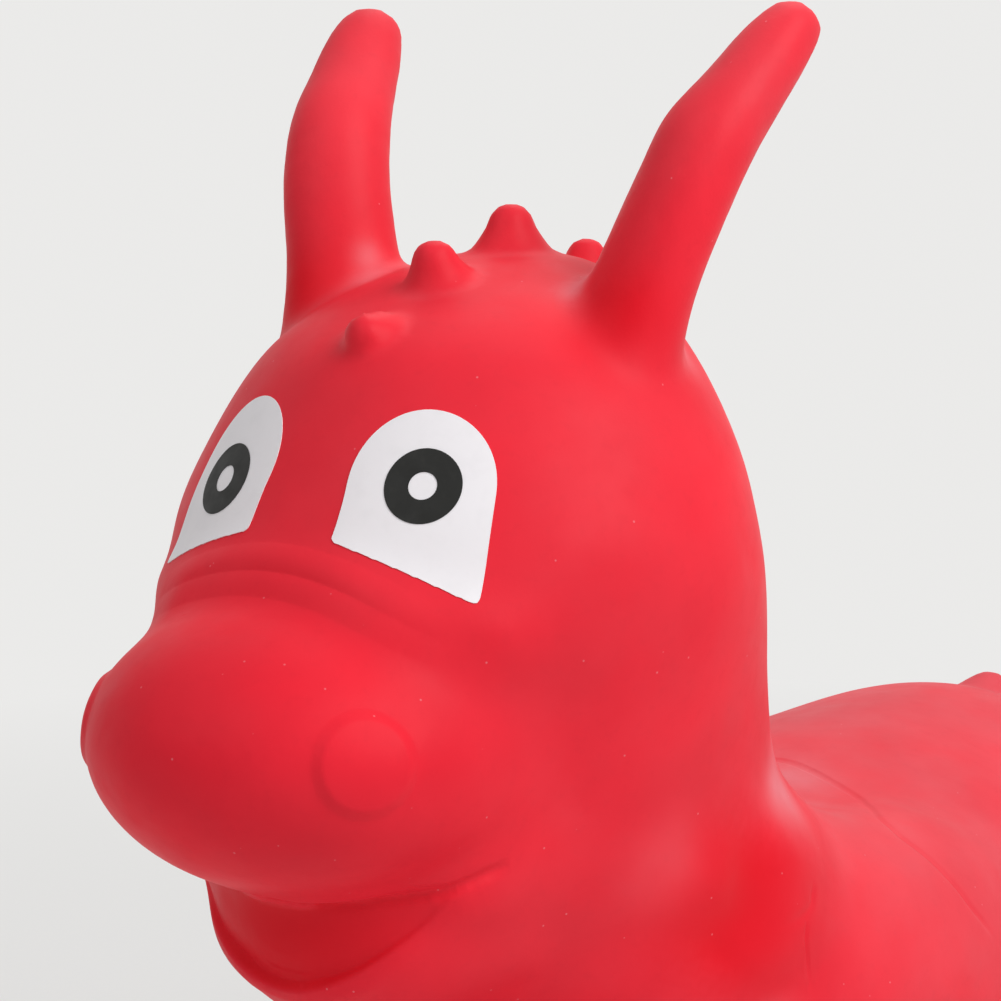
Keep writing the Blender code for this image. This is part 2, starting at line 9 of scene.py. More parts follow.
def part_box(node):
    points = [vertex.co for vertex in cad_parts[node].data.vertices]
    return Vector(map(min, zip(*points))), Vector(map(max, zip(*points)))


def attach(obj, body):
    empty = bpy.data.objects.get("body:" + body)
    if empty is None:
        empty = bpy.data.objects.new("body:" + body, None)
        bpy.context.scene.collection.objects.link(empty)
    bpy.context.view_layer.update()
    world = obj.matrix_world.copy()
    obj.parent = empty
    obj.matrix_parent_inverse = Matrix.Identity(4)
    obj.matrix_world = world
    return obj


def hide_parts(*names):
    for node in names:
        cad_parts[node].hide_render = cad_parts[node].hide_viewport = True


bl_info = {
    "name": "Animal hopper",
    "version": (1, 0, 0),
    "blender": (4, 5, 0),
    "location": "3D View > Sidebar > Hopper",
    "description": "Models the skin, eyes and stopper of an inflatable hopping animal on its stage",
    "category": "Object",
}

Ring = namedtuple("Ring", "middle across upward")
Evened = namedtuple("Evened", "middle reach rounds")
FineArea = namedtuple("FineArea", "bottom top back inner outer")
Pattern = namedtuple("Pattern", "scale detail start end low high")
Relief = namedtuple("Relief", "scale detail depth strength")
Lamp = namedtuple("Lamp", "turn rise distance size power")

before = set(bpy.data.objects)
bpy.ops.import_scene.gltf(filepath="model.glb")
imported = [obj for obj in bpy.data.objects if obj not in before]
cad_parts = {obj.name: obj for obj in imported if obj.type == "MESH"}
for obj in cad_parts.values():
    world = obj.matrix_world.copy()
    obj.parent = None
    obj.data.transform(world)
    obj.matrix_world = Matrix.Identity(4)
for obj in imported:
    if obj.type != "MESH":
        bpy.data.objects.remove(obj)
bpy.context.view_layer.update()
SKIN_LOW, SKIN_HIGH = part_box("skin")
PLUG_LOW, PLUG_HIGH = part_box("valve_plug")

# The animal stands on the floor, faces -Y and has its left side at +X. Lengths are in metres.
# Forms are drawn with the withers near Y 0, and the finished skin is then put in the frame's box.

# Neck and head: height, middle in Y, half depth, half width
NECK_AND_HEAD = (
    (0.150, -0.052, 0.082, 0.086),
    (0.195, -0.051, 0.119, 0.108),
    (0.222, -0.062, 0.124, 0.107),
    (0.240, -0.0765, 0.119, 0.1065),
    (0.262, -0.0925, 0.1120, 0.0995),
    (0.300, -0.1085, 0.1113, 0.1060),
    (0.330, -0.1152, 0.1069, 0.1120),
    (0.352, -0.1186, 0.1029, 0.1140),
    (0.370, -0.1183, 0.0982, 0.1108),
    (0.388, -0.1150, 0.0916, 0.1046),
    (0.412, -0.1119, 0.0808, 0.0921),
    (0.430, -0.1080, 0.0715, 0.0776),
    (0.446, -0.0985, 0.0535, 0.0580),
    (0.457, -0.0910, 0.0290, 0.035),
)
CROWN_CAP = 0.005

# Snout, lower jaw, cheeks and bridge: place in Y, middle height, half height, half width
SNOUT = (
    (-0.105, 0.298, 0.053, 0.089),
    (-0.150, 0.296, 0.058, 0.086),
    (-0.185, 0.2955, 0.0575, 0.082),
    (-0.215, 0.2955, 0.0545, 0.0790),
    (-0.243, 0.2960, 0.0475, 0.0710),
    (-0.264, 0.2970, 0.0370, 0.0555),
    (-0.277, 0.2980, 0.0240, 0.0370),
    (-0.2840, 0.2985, 0.0115, 0.0175),
)
SNOUT_CAP = 0.0015
JAW = (
    (-0.095, 0.239, 0.055, 0.086),
    (-0.150, 0.236, 0.052, 0.076),
    (-0.190, 0.240, 0.053, 0.0620),
    (-0.212, 0.238, 0.041, 0.0465),
    (-0.225, 0.239, 0.025, 0.0240),
)
JAW_CAP = 0.004
CHEEK = (
    (-0.100, 0.262, 0.050, 0.088),
    (-0.150, 0.262, 0.050, 0.083),
    (-0.176, 0.257, 0.042, 0.0765),
    (-0.192, 0.252, 0.032, 0.0730),
    (-0.206, 0.250, 0.022, 0.0630),
)
CHEEK_CAP = 0.005
BRIDGE = (
    (-0.120, 0.337, 0.030, 0.084),
    (-0.170, 0.338, 0.0404, 0.0919),
    (-0.200, 0.337, 0.0320, 0.0828),
    (-0.222, 0.335, 0.0300, 0.0586),
)
BRIDGE_CAP = 0.008

# Ears, the two handles: place in X, Y and Z, and radius
EAR = (
    (0.057, -0.113, 0.405, 0.034),
    (0.0635, -0.109, 0.430, 0.0262),
    (0.0705, -0.1035, 0.455, 0.0222),
    (0.0795, -0.0963, 0.4825, 0.0212),
    (0.0858, -0.0865, 0.504, 0.0202),
    (0.0908, -0.0735, 0.520, 0.0180),
    (0.0953, -0.0605, 0.535, 0.0160),
    (0.0985, -0.0505, 0.545, 0.0130),
)
EAR_FLATNESS = 0.83
EAR_BROAD_TURN = math.radians(-37.0)
EAR_CAP = 0.006

# Tail stub: place in X, Y and Z, and radius
TAIL = (
    (0.0, 0.235, 0.186, 0.026),
    (0.0, 0.270, 0.205, 0.023),
    (0.0, 0.292, 0.221, 0.019),
    (0.0, 0.304, 0.231, 0.0125),
)
TAIL_CAP = 0.005

# Mane bumps on the crown: place in Y, base radius, height, tip radius, lean (1 upright, under 0 forward)
MANE_BUMPS = (
    (-0.1725, 0.0098, 0.0108, 0.0080, -1.6),
    (-0.134, 0.0130, 0.0160, 0.0088, 0.0),
    (-0.090, 0.0150, 0.0185, 0.0093, 0.0),
    (-0.044, 0.0120, 0.0215, 0.0085, 0.8),
)
BUMP_FOOT_FLARE = 1.25

# Trunk and legs
TRUNK_SECTIONS = 40
CHEST_Y = -0.165
RUMP_Y = 0.300
CHEST_BLUNTNESS = 3.3
RUMP_BLUNTNESS = 5.0
BACK_RISE = 0.022
SHOULDER_MIDDLE = (0.066, 0.040, 0.166)
SHOULDER_RADII = (0.059, 0.140, 0.064)
FRONT_LEG_Y = -0.070
HIND_LEG_Y = 0.190
LEG_X = 0.070
LEG_SPREAD = 0.012
LEG_STRIDE = 0.026
FOOT_HEIGHT = 0.022
SOLE_CUT = 0.006
LEG_PROFILE = ((0.180, 0.030), (0.130, 0.060), (0.065, 0.052), (0.044, 0.044), (0.022, 0.050))

# Valleys over the root of the snout: height on the middle plane; they drop towards the cheeks
FOLD_VALLEYS = (0.3667, 0.3578, 0.3497)
FOLD_DROP = 4.5
FOLD_HALF_SPAN = 0.068
FOLD_BACK_Y = -0.165
FOLD_FULLNESS = 0.8

# Raised nostril discs, found along a line from inside the snout
NOSTRIL_START = (0.0, -0.185, 0.2955)
NOSTRIL_TURN = math.radians(43.0)
NOSTRIL_RISE = math.radians(5.0)
NOSTRIL_EDGE = 0.0055

# Open smile under the snout
MOUTH_MIDDLE_X = -0.0045
MOUTH_HALF_WIDTH = 0.070
MOUTH_TOP = 0.2535
MOUTH_BOTTOM = 0.2075
MOUTH_FRONT_Y = -0.236
MOUTH_BACK_Y = -0.145
MOUTH_EDGE = 0.002
MOUTH_FACING = 0.6
MOUTH_UNDERSIDE = (-0.80, -0.40)
MOUTH_TAPER = 1.5

# Creases and hollows of the soft skin, as points on the left side; the right side has the same
FLANK_CREASE = (
    (0.0000, 0.1056, 0.2312),
    (0.0060, 0.1050, 0.2310),
    (0.0130, 0.1029, 0.2303),
    (0.0263, 0.0977, 0.2289),
    (0.0481, 0.0876, 0.2252),
    (0.0600, 0.0762, 0.2249),
    (0.0760, 0.0584, 0.2262),
    (0.0860, 0.0523, 0.2239),
    (0.0936, 0.0504, 0.2201),
    (0.1056, 0.0546, 0.2108),
    (0.1122, 0.0587, 0.2019),
    (0.1177, 0.0648, 0.1915),
    (0.1214, 0.0809, 0.1742),
)
SHOULDER_CREASE = (
    (0.1041, -0.0380, 0.2257),
    (0.1052, -0.0411, 0.2215),
    (0.1056, -0.0445, 0.2170),
    (0.1058, -0.0525, 0.2148),
    (0.1058, -0.0661, 0.2141),
)
SHOULDER_WRINKLE = (
    (0.1053, -0.0483, 0.2146),
    (0.1079, -0.0501, 0.2059),
    (0.1077, -0.0481, 0.1957),
    (0.1085, -0.0470, 0.1859),
)
# Shares of the width and depth that creases have
SHOULDER_CREASE_WIDTH_SHARE = 1.4
SHOULDER_WRINKLE_WIDTH_SHARE = 0.7
SHOULDER_DEPTH_SHARE = 0.8
NECK_HOLLOW = (
    (0.0975, -0.0690, 0.2610),
    (0.1007, -0.0770, 0.2469),
    (0.1027, -0.0840, 0.2251),
    (0.1010, -0.0930, 0.2159),
    (0.0999, -0.1000, 0.2052),
    (0.0950, -0.1100, 0.1850),
)
NECK_HOLLOW_WIDTH = 0.040
NECK_HOLLOW_DEPTH = 0.0045
UPPER_LIP_CREASE = (
    (0.0000, -0.2400, 0.2475),
    (0.0200, -0.2265, 0.2455),
    (0.0367, -0.2168, 0.2479),
    (0.0484, -0.2074, 0.2509),
    (0.0589, -0.1968, 0.2549),
    (0.0660, -0.1850, 0.2600),
)
UPPER_LIP_WIDTH = 0.0050
UPPER_LIP_DEPTH = 0.0018

# Share of a crease's length over which it fades in or out; fading in starts just before its first point
SHORT_FADE = 0.12
LONG_FADE = 0.3
FADE_START = -0.01

# Rounded swellings and dips: name, place, radius, and height, which is negative for a dip
SOFT_SPOTS = (
    ("ear knuckle", (0.0757, -0.0985, 0.5100), 0.013, 0.0012),
    ("back dip", (0.0, 0.085, 0.232), 0.046, -0.0035),
    ("loin dip", (0.075, 0.215, 0.222), 0.060, -0.0036),
)

# Places where the melted forms are evened out further, the same on both sides
EVENED = (
    Evened((0.062, 0.080, 0.225), (0.080, 0.085, 0.050), 90),
    Evened((0.088, -0.165, 0.290), (0.042, 0.060, 0.085), 70),
    Evened((0.068, -0.230, 0.330), (0.032, 0.040, 0.032), 30),
)
EVENED_CORE = 0.5

# Pale powder and painted sheen: its share all over, on some parts and in hollows; where painted shade leaves
# none; and spots with more.
# Less on the snout, which is in shade, and more as painted sheen on the lit ear tips and the upward-facing
# trunk
POWDER_AND_SHEEN_SHARE = 0.018
SNOUT_POWDER_AND_SHEEN_SHARE = 0.009
EAR_TIP_POWDER_AND_SHEEN_SHARE = 0.036
TRUNK_POWDER_AND_SHEEN_SHARE = 0.072
# Painted shade: a darker, deeper red with no powder, in a band this wide along the hollow beside the neck, in
# a spot in front of each ear's foot, and in the sunk mouth
PAINTED_SHADE_WIDTH = 0.076
PAINTED_SHADE_SPOT = (0.0745, -0.1270, 0.4460)
PAINTED_SHADE_SPOT_RADIUS = 0.019
HOLLOW_POWDER_AND_SHEEN_SHARE = 0.10
# Spots with more pale powder and painted sheen at the foot of the neck, on the back and low on the neck's
# front; those at the feet of the ears are painted highlights
POWDER_AND_SHEEN_SPOTS = (
    ((0.0924, -0.0483, 0.2607), 0.013, 0.15),
    ((0.0891, -0.0320, 0.2532), 0.012, 0.12),
    ((0.0828, -0.0339, 0.2750), 0.014, 0.08),
    ((0.0140, 0.0950, 0.2263), 0.016, 0.10),
    ((0.0255, 0.0868, 0.2254), 0.014, 0.08),
    ((0.0955, -0.1290, 0.2450), 0.018, 0.028),
    ((0.0975, -0.1190, 0.2520), 0.014, 0.028),
    ((0.0480, -0.1170, 0.4509), 0.007, 0.10),
    ((0.0520, -0.1105, 0.4585), 0.006, 0.14),
    ((0.0793, -0.0889, 0.4243), 0.008, 0.10),
)

# Spans over which pale powder and painted sheen go from none to their full share
HOLLOW_DEPTHS = (0.0002, 0.0022)
HOLLOW_Y = (-0.20, -0.16)
HOLLOW_Z = (0.12, 0.18)
TRUNK_Y = (-0.06, 0.04)
TRUNK_Z = (0.30, 0.24)
# Upward-facing parts of the trunk get more: painted sheen where light falls
TRUNK_FACING = (-0.3, 0.4)
SNOUT_Y = (-0.17, -0.23)
SNOUT_Z = (0.37, 0.33)
EAR_TIP_Z = (0.47, 0.53)
FILL_ROUNDS = 60

# Eye films and printed pupils
EYE_X = 0.0435
EYE_Z = 0.3879
EYE_TURN = math.radians(21.0)
EYE_TILT = math.radians(25.0)
EYE_HALF_WIDTH = 0.0266
EYE_RIGHT_NARROWING = 0.0026
EYE_ARCH = 0.0284
EYE_SHIFT = -0.0014
EYE_INNER_FLARE = 0.0025
EYE_INNER_DROP = 0.0208
EYE_OUTER_DROP = 0.0406
EYE_OUTER_TUCK = 0.0012
EYE_INNER_BOW = 1.5
EYE_OUTER_BOW = 2
EYE_RAGGED_EDGE = 0.00022
RAGGED_WAVES = (1.9, 0.63)
RAGGED_BELOW_SHARE = 0.5
CORNER_ROUNDS = 2
FILM_GAP = 0.00008
FILM_SHARES = (1.0, 0.985, 0.95, 0.9, 0.82, 0.73, 0.64, 0.55, 0.46, 0.37, 0.28, 0.19, 0.1)
PUPIL_RADIUS = 0.0138
PUPIL_HOLE_RADIUS = 0.0051
PUPIL_RIGHT_DROP = 0.0048
PRINT_SHARE = 0.5
SIDES = ((1, "left"), (-1, "right"))

# Valve collar: what is taken off its radius at each height over its face; and the bore through it
VALVE_COLLAR_RADIUS = 0.0130
VALVE_COLLAR_PROUD = 0.0010
VALVE_COLLAR_EDGE = ((0.0006, 0.0), (0.00018, 0.00024), (0.0, 0.0006), (0.0, 0.0040))
VALVE_BORE_RADIUS = 0.0045
VALVE_BORE_DEPTH = 0.0210
VALVE_BORE_OVERSHOOT = 0.0100

# Ribbed air stopper. Faces of its head: share of the head's radius, and height over that face
STOPPER_HEAD_THICKNESS = 0.0024
STOPPER_OUTER_FACE = ((0.30, 0.0005), (0.62, 0.0005), (0.70, 0.0), (0.93, 0.0), (0.985, 0.0003),
                      (1.0, 0.0008))
STOPPER_INNER_FACE = ((1.0, -0.0007), (0.985, -0.0002), (0.95, 0.0))
STOPPER_FILLET = 0.0004
STOPPER_SHANK_RADIUS = 0.0037
STOPPER_RIBS = 3
STOPPER_RIB_HEIGHT = 0.0005
# Rib: share of the pitch, and share of the rib's height
STOPPER_RIB = ((-0.25, 0.0), (-0.12, 0.75), (0.0, 1.0), (0.12, 0.75), (0.25, 0.0))
STOPPER_TIP_LENGTH = 0.0030
# Tip: share of the shank's radius, and distance to the end
STOPPER_TIP = ((1.0, STOPPER_TIP_LENGTH), (0.7, 0.0004), (0.55, 0.0))

# Patterns of the finishes: a noise's scale and detail, the span of it that counts, what the span becomes
VINYL_CLOUDS = Pattern(14.0, 3.0, 0.35, 0.65, 0.0, 1.0)
VINYL_MOTTLE = Pattern(220.0, 2.0, 0.55, 0.75, 0.0, 0.10)
VINYL_SATIN = Pattern(55.0, 4.0, 0.3, 0.7, 0.42, 0.52)
# Patches in the pale powder and painted sheen
POWDER_AND_SHEEN_PATCHES = Pattern(24.0, 4.0, 0.36, 0.64, 0.8, 1.2)
FILM_SCUFFS = Pattern(130.0, 5.0, 0.5, 0.75, 0.0, 0.35)
FILM_GLOSS = Pattern(90.0, 3.0, 0.3, 0.7, 0.34, 0.46)
INK_THIN_SPOTS = Pattern(420.0, 4.0, 0.5, 0.8, 0.0, 0.6)
INK_GLOSS = Pattern(200.0, 2.0, 0.3, 0.7, 0.45, 0.58)
STOPPER_GRIME = Pattern(260.0, 4.0, 0.5, 0.8, 0.0, 0.4)
STOPPER_SATIN = Pattern(120.0, 3.0, 0.3, 0.7, 0.35, 0.5)
PAPER_FIBRES = Pattern(240.0, 3.0, 0.3, 0.7, 0.0, 1.0)

# Fine relief of the finishes: a noise's scale and detail, its depth and how strongly it shows
VINYL_WAVES = Relief(32.0, 2.0, 0.0015, 0.25)
VINYL_GRAIN = Relief(900.0, 3.0, 0.00012, 0.35)
FILM_RIPPLE = Relief(160.0, 3.0, 0.0003, 0.2)
INK_RIPPLE = Relief(300.0, 3.0, 0.0002, 0.2)
STOPPER_GRAIN = Relief(1500.0, 2.0, 0.0001, 0.25)

# How much darker or lighter a mark is than the plain colour, and other strengths of the finishes
CLOUD_DARK = 0.93
CLOUD_LIGHT = 1.05
MOTTLE_SHADE = 0.75
SCUFF_SHADE = 0.90
THIN_INK_SHADE = 1.9
GRIME_SHADE = 0.78
FIBRE_SHADE = 0.98
# Share of the painted shade's darker red where that shade is full
PAINTED_SHADE_SHARE = 0.7
DUST_SCALE = 95.0
DUST_RADII = (0.028, 0.046)
DUST_SHARE = 0.16
VINYL_SPECULAR = 0.10
INK_SPECULAR = 0.25
SMOOTH_ANGLE = math.radians(40.0)

# Stage. Lamps: degrees round the object and above the horizon, distance, size, and power in watts
CAMERA_TURN = math.radians(37.0)
CAMERA_RISE = math.radians(8.0)
CAMERA_DISTANCE = 1.127
CAMERA_TARGET = (0.0, -0.110, 0.368)
CAMERA_LENS = 107.9
LAMPS = {
    "key_lamp": Lamp(88.0, 42.0, 2.2, 1.5, 39.5),
    "fill_lamp": Lamp(-15.0, 42.0, 2.4, 1.8, 9.5),
    "back_lamp": Lamp(200.0, 55.0, 2.4, 1.4, 11.0),
}
FLOOR_HALF_WIDTH = 6.0
SHADOW_REACH = 0.5
FLOOR_REACH = 1.4
FLOOR_GLOW = 0.55
AMBIENT = 0.34

# Mesh fineness
SECTION_POINTS = 48
STEPS_PER_STATION = 5
ROUTE_STEPS = 20
CAP_STEPS = 5
CAP_OPEN_STEP = 0.3
BODY_VOXEL = 0.0045
BODY_ROUNDS = 12
LIMB_VOXEL = 0.0040
LIMB_ROUNDS = 4
SKIN_VOXEL = 0.0031
SKIN_ROUNDS = 3
SOFTENING = 0.5
LEAST_WEIGHT = 0.001
SKIN_TRIANGLES = 180000
OUTLINE_POINTS = 36
PUPIL_POINTS = 96
PUPIL_STEPS = 8
FAR_AWAY = 2.0

# Areas of the face with a finer mesh, for folds, nostrils and mouth, and how it follows the creases
FINE_FACE = (
    FineArea(bottom=0.315, top=0.375, back=-0.185, inner=0.0, outer=0.09),
    FineArea(bottom=0.275, top=0.335, back=-0.225, inner=0.03, outer=FAR_AWAY),
    FineArea(bottom=0.185, top=0.262, back=-0.165, inner=0.0, outer=0.075),
)
FINE_ROUNDS = 2
FACE_SMOOTHING = 2
FINE_CREASE_WIDTHS = 4
FINE_CREASE_WEIGHT = 0.2
CREASE_MARGIN = 3


def length_setting(name, description, default, low=0.0):
    """Return a setting that holds a length."""
    return bpy.props.FloatProperty(name=name, description=description, default=default, min=low,
                                   unit="LENGTH")


def colour_setting(name, description, *shades):
    """Return a setting that holds a colour."""
    return bpy.props.FloatVectorProperty(name=name, description=description, default=(*shades, 1.0),
                                         min=0.0, max=1.0, size=4, subtype="COLOR")


class HopperShape(bpy.types.PropertyGroup):
    """Sizes of the moulded skin and of what is stuck on it."""
    back_height: length_setting("Back height", "Height of the middle of the back over the floor", 0.2306, 0.1)
    belly_height: length_setting("Belly height", "Height of the belly over the floor", 0.078, 0.02)
    trunk_half_width: length_setting("Trunk half width", "Half the width of the trunk", 0.124, 0.05)
    fold_height: length_setting("Fold height", "Height of the folds over the snout", 0.0008)
    nostril_radius: length_setting("Nostril radius", "Radius of a raised nostril disc", 0.0135, 0.001)
    nostril_height: length_setting("Nostril height", "How far a nostril disc stands proud", 0.0015)
    mouth_depth: length_setting("Mouth depth", "How deep the open mouth is sunk", 0.0048)
    lip_width: length_setting("Lip width", "Width of the lower lip", 0.008, 0.001)
    lip_height: length_setting("Lip height", "How far the lower lip stands proud", 0.0022)
    crease_width: length_setting("Crease width", "Width of the creases on flank and shoulder", 0.0030, 0.001)
    crease_depth: length_setting("Crease depth", "Depth of the creases on flank and shoulder", 0.0009)
    film_thickness: length_setting("Film thickness", "Thickness of an eye film", 0.0003, 0.00005)


class HopperColours(bpy.types.PropertyGroup):
    """Colours of the pieces and of the stage."""
    vinyl: colour_setting("Vinyl", "Red of the moulded skin", 0.83, 0.013, 0.031)
    # Painted shade: the darker red painted in the hollows beside the neck, in front of the ears' feet and in
    # the mouth
    clean: colour_setting("Painted shade red", "Deep red of the hollows that no powder reaches", 0.74, 0.004, 0.012)
    # Pale powder, also used for the painted sheen and highlights and for the specks of dust
    powder_and_sheen_colour: colour_setting("Powder and sheen", "Pale powder that lies on the vinyl", 0.86, 0.76, 0.84)
    film: colour_setting("Film", "White of the eye films", 0.88, 0.85, 0.88)
    ink: colour_setting("Print", "Black of the printed pupils", 0.008, 0.008, 0.007)
    stopper: colour_setting("Stopper", "White of the air stopper", 0.80, 0.80, 0.78)
    floor: colour_setting("Floor", "Colour of the floor and backdrop", 0.83, 0.825, 0.815)


def clear_selection():
    """Leave nothing selected, in object mode."""
    if bpy.context.mode != "OBJECT":
        bpy.ops.object.mode_set(mode="OBJECT")
    bpy.ops.object.select_all(action="DESELECT")


def lone(item):
    """Make one object the only selected one, in object mode."""
    clear_selection()
    item.select_set(True)
    bpy.context.view_layer.objects.active = item


def apply_modifiers(item):
    """Apply an object's modifiers in their order."""
    lone(item)
    for modifier in list(item.modifiers):
        bpy.ops.object.modifier_apply(modifier=modifier.name)


def join(items):
    """Join objects into the first one."""
    lone(items[0])
    for item in items[1:]:
        item.select_set(True)
    bpy.ops.object.join()
    return items[0]


def select_all_in_edit(item):
    """Enter edit mode with the whole mesh selected."""
    lone(item)
    bpy.ops.object.mode_set(mode="EDIT")
    bpy.ops.mesh.select_all(action="SELECT")


def leave_edit():
    """Turn the faces of the mesh in edit mode outwards, and go back to object mode."""
    bpy.ops.mesh.select_all(action="SELECT")
    bpy.ops.mesh.normals_make_consistent(inside=False)
    bpy.ops.object.mode_set(mode="OBJECT")


def soften(item, rounds, group=""):
    """Smooth an object, or a vertex group of it, for a number of rounds."""
    modifier = item.modifiers.new("Soften", "SMOOTH")
    modifier.factor = SOFTENING
    modifier.iterations = rounds
    modifier.vertex_group = group
    apply_modifiers(item)


def direction(turn, rise):
    """Return the unit vector at an angle from the front towards the left side, and above the horizon."""
    return Vector((math.sin(turn) * math.cos(rise), -math.cos(turn) * math.cos(rise), math.sin(rise)))


def spline_through(stations, steps):
    """Return more stations, on a smooth curve that passes through the given ones."""
    count = len(stations)
    dense = []
    for index in range(count - 1):
        before = stations[max(index - 1, 0)]
        start = stations[index]
        end = stations[index + 1]
        after = stations[min(index + 2, count - 1)]
        for step in range(steps):
            t = step / steps
            dense.append(tuple(
                0.5 * (2 * b + (c - a) * t + (2 * a - 5 * b + 4 * c - d) * t ** 2
                       + (3 * b - a - 3 * c + d) * t ** 3)
                for a, b, c, d in zip(before, start, end, after)))
    dense.append(tuple(stations[-1]))
    return dense


def round_cap(rings, length):
    """Return rings that round off the end of a form over a given length."""
    last = rings[-1]
    outward = (last.middle - rings[-2].middle).normalized()
    caps = []
    for step in range(1, CAP_STEPS + 1):
        angle = 0.5 * math.pi * step / (CAP_STEPS + CAP_OPEN_STEP)
        shrink = math.cos(angle)
        caps.append(Ring(last.middle + outward * length * math.sin(angle),
                         last.across * shrink, last.upward * shrink))
    return caps


def pull_form(name, rings, upright):
    """Pull a filled circle out ring by ring: level rings, or standing ones for a form that isn't upright."""
    clear_selection()
    first = rings[0]
    turn = 0.0 if upright else 0.5 * math.pi
    bpy.ops.mesh.primitive_circle_add(vertices=SECTION_POINTS, radius=1.0, fill_type="NGON",
                                      location=first.middle, rotation=(turn, 0, 0))
    form = bpy.context.object
    form.name = name
    bpy.ops.object.transform_apply()
    select_all_in_edit(form)

    def resize(wide, high, middle):
        value = (wide, high, 1.0) if upright else (wide, 1.0, high)
        bpy.ops.transform.resize(value=value, center_override=middle)

    resize(first.across, first.upward, first.middle)
    for before, after in zip(rings, rings[1:]):
        step = after.middle - before.middle
        bpy.ops.mesh.extrude_region_move(TRANSFORM_OT_translate={"value": step})
        resize(after.across / before.across, after.upward / before.upward, after.middle)
    leave_edit()
    return form


def turned_form(name, profile):
    """Pull a form round the stopper's axis from its radii and heights."""
    y = 0.5 * (PLUG_LOW.y + PLUG_HIGH.y)
    rings = [Ring(Vector((0, y, height)), radius, radius) for radius, height in profile]
    return pull_form(name, rings, upright=True)


def pull_tube(name, stations, cap_length, broad, flatness):
    """Pull a flattened ring along a path of places and radii, turning it square to the path."""
    dense = spline_through(stations, STEPS_PER_STATION)
    middles = [Vector(station[:3]) for station in dense]
    radii = [station[3] for station in dense]
    rings = [Ring(middle, radius, radius) for middle, radius in zip(middles, radii)]
    rings += round_cap(rings, cap_length)
    middles = [ring.middle for ring in rings]
    alongs = []
    for index in range(len(rings)):
        ahead = middles[min(index + 1, len(rings) - 1)]
        alongs.append((ahead - middles[max(index - 1, 0)]).normalized())
    across = (broad - alongs[0] * broad.dot(alongs[0])).normalized()
    upward = alongs[0].cross(across)
    place = Matrix((across, upward, alongs[0])).transposed().to_4x4()
    place.translation = middles[0]

    clear_selection()
    bpy.ops.mesh.primitive_circle_add(vertices=SECTION_POINTS, radius=radii[0], fill_type="NGON")
    form = bpy.context.object
    form.name = name
    form.matrix_world = place @ Matrix.Diagonal((1.0, flatness, 1.0, 1.0))
    bpy.ops.object.transform_apply()
    select_all_in_edit(form)
    for index in range(1, len(rings)):
        step = middles[index] - middles[index - 1]
        bpy.ops.mesh.extrude_region_move(TRANSFORM_OT_translate={"value": step})
        turn = alongs[index - 1].rotation_difference(alongs[index]).to_euler("XYZ")
        for axis, angle in zip("XYZ", turn):
            bpy.ops.transform.rotate(value=-angle, orient_axis=axis, center_override=middles[index])
        share = rings[index].across / rings[index - 1].across
        bpy.ops.transform.resize(value=(share, share, share), center_override=middles[index])
    leave_edit()
    return form


def mirrored(item):
    """Give a form its twin on the other side of the middle plane."""
    item.modifiers.new("Twin", "MIRROR").use_mirror_merge = False
    apply_modifiers(item)
    return item


def melt(items, voxel, rounds):
    """Fuse forms into one skin with soft fillets: voxel remesh, then smoothing."""
    skin = join(items)
    remesh = skin.modifiers.new("Remesh", "REMESH")
    remesh.mode = "VOXEL"
    remesh.voxel_size = voxel
    apply_modifiers(skin)
    soften(skin, rounds)
    return skin


def trunk_form(shape):
    """Barrel with blunt ends."""
    half_length = 0.5 * (RUMP_Y - CHEST_Y)
    middle_y = 0.5 * (RUMP_Y + CHEST_Y)
    half_height = 0.5 * (shape.back_height - shape.belly_height)
    middle_z = 0.5 * (shape.back_height + shape.belly_height)
    rings = []
    for index in range(1, TRUNK_SECTIONS):
        t = -math.cos(math.pi * index / TRUNK_SECTIONS)
        bluntness = CHEST_BLUNTNESS if t < 0 else RUMP_BLUNTNESS
        size = (1 - abs(t) ** bluntness) ** (1 / bluntness)
        rise = 0.5 * BACK_RISE * t
        rings.append(Ring(Vector((0, middle_y + half_length * t, middle_z + rise)),
                          shape.trunk_half_width * size, (half_height + rise) * size))
    return pull_form("trunk", rings, upright=False)


def shoulder_pair():
    """Two swellings beside the foot of the neck."""
    clear_selection()
    bpy.ops.mesh.primitive_uv_sphere_add(segments=SECTION_POINTS, ring_count=SECTION_POINTS // 2,
                                         radius=1.0, location=SHOULDER_MIDDLE, scale=SHOULDER_RADII)
    form = bpy.context.object
    bpy.ops.object.transform_apply()
    return mirrored(form)


def leg_pair(hip_y, stride):
    """Two short legs that narrow to the ankle and swell to the foot."""
    stations = []
    thigh_height = LEG_PROFILE[1][0]
    for height, radius in LEG_PROFILE:
        share = 1 - height / thigh_height
        stations.append((LEG_X + LEG_SPREAD * share, hip_y + stride * share, height, radius))
    rings = [Ring(Vector(station[:3]), station[3], station[3])
             for station in spline_through(stations, STEPS_PER_STATION)]
    rings += round_cap(rings, FOOT_HEIGHT + SOLE_CUT)
    return mirrored(pull_form("legs", rings, upright=True))


def upright_form(name, stations, cap_length):
    """Form of level rings: height, middle Y, half depth, half width."""
    rings = [Ring(Vector((0, y, z)), width, depth)
             for z, y, depth, width in spline_through(stations, STEPS_PER_STATION)]
    return pull_form(name, rings + round_cap(rings, cap_length), upright=True)


def forward_form(name, stations, cap_length):
    """Form of standing rings: place in Y, middle height, half height, half width."""
    rings = [Ring(Vector((0, y, z)), width, height)
             for y, z, height, width in spline_through(stations, STEPS_PER_STATION)]
    return pull_form(name, rings + round_cap(rings, cap_length), upright=False)


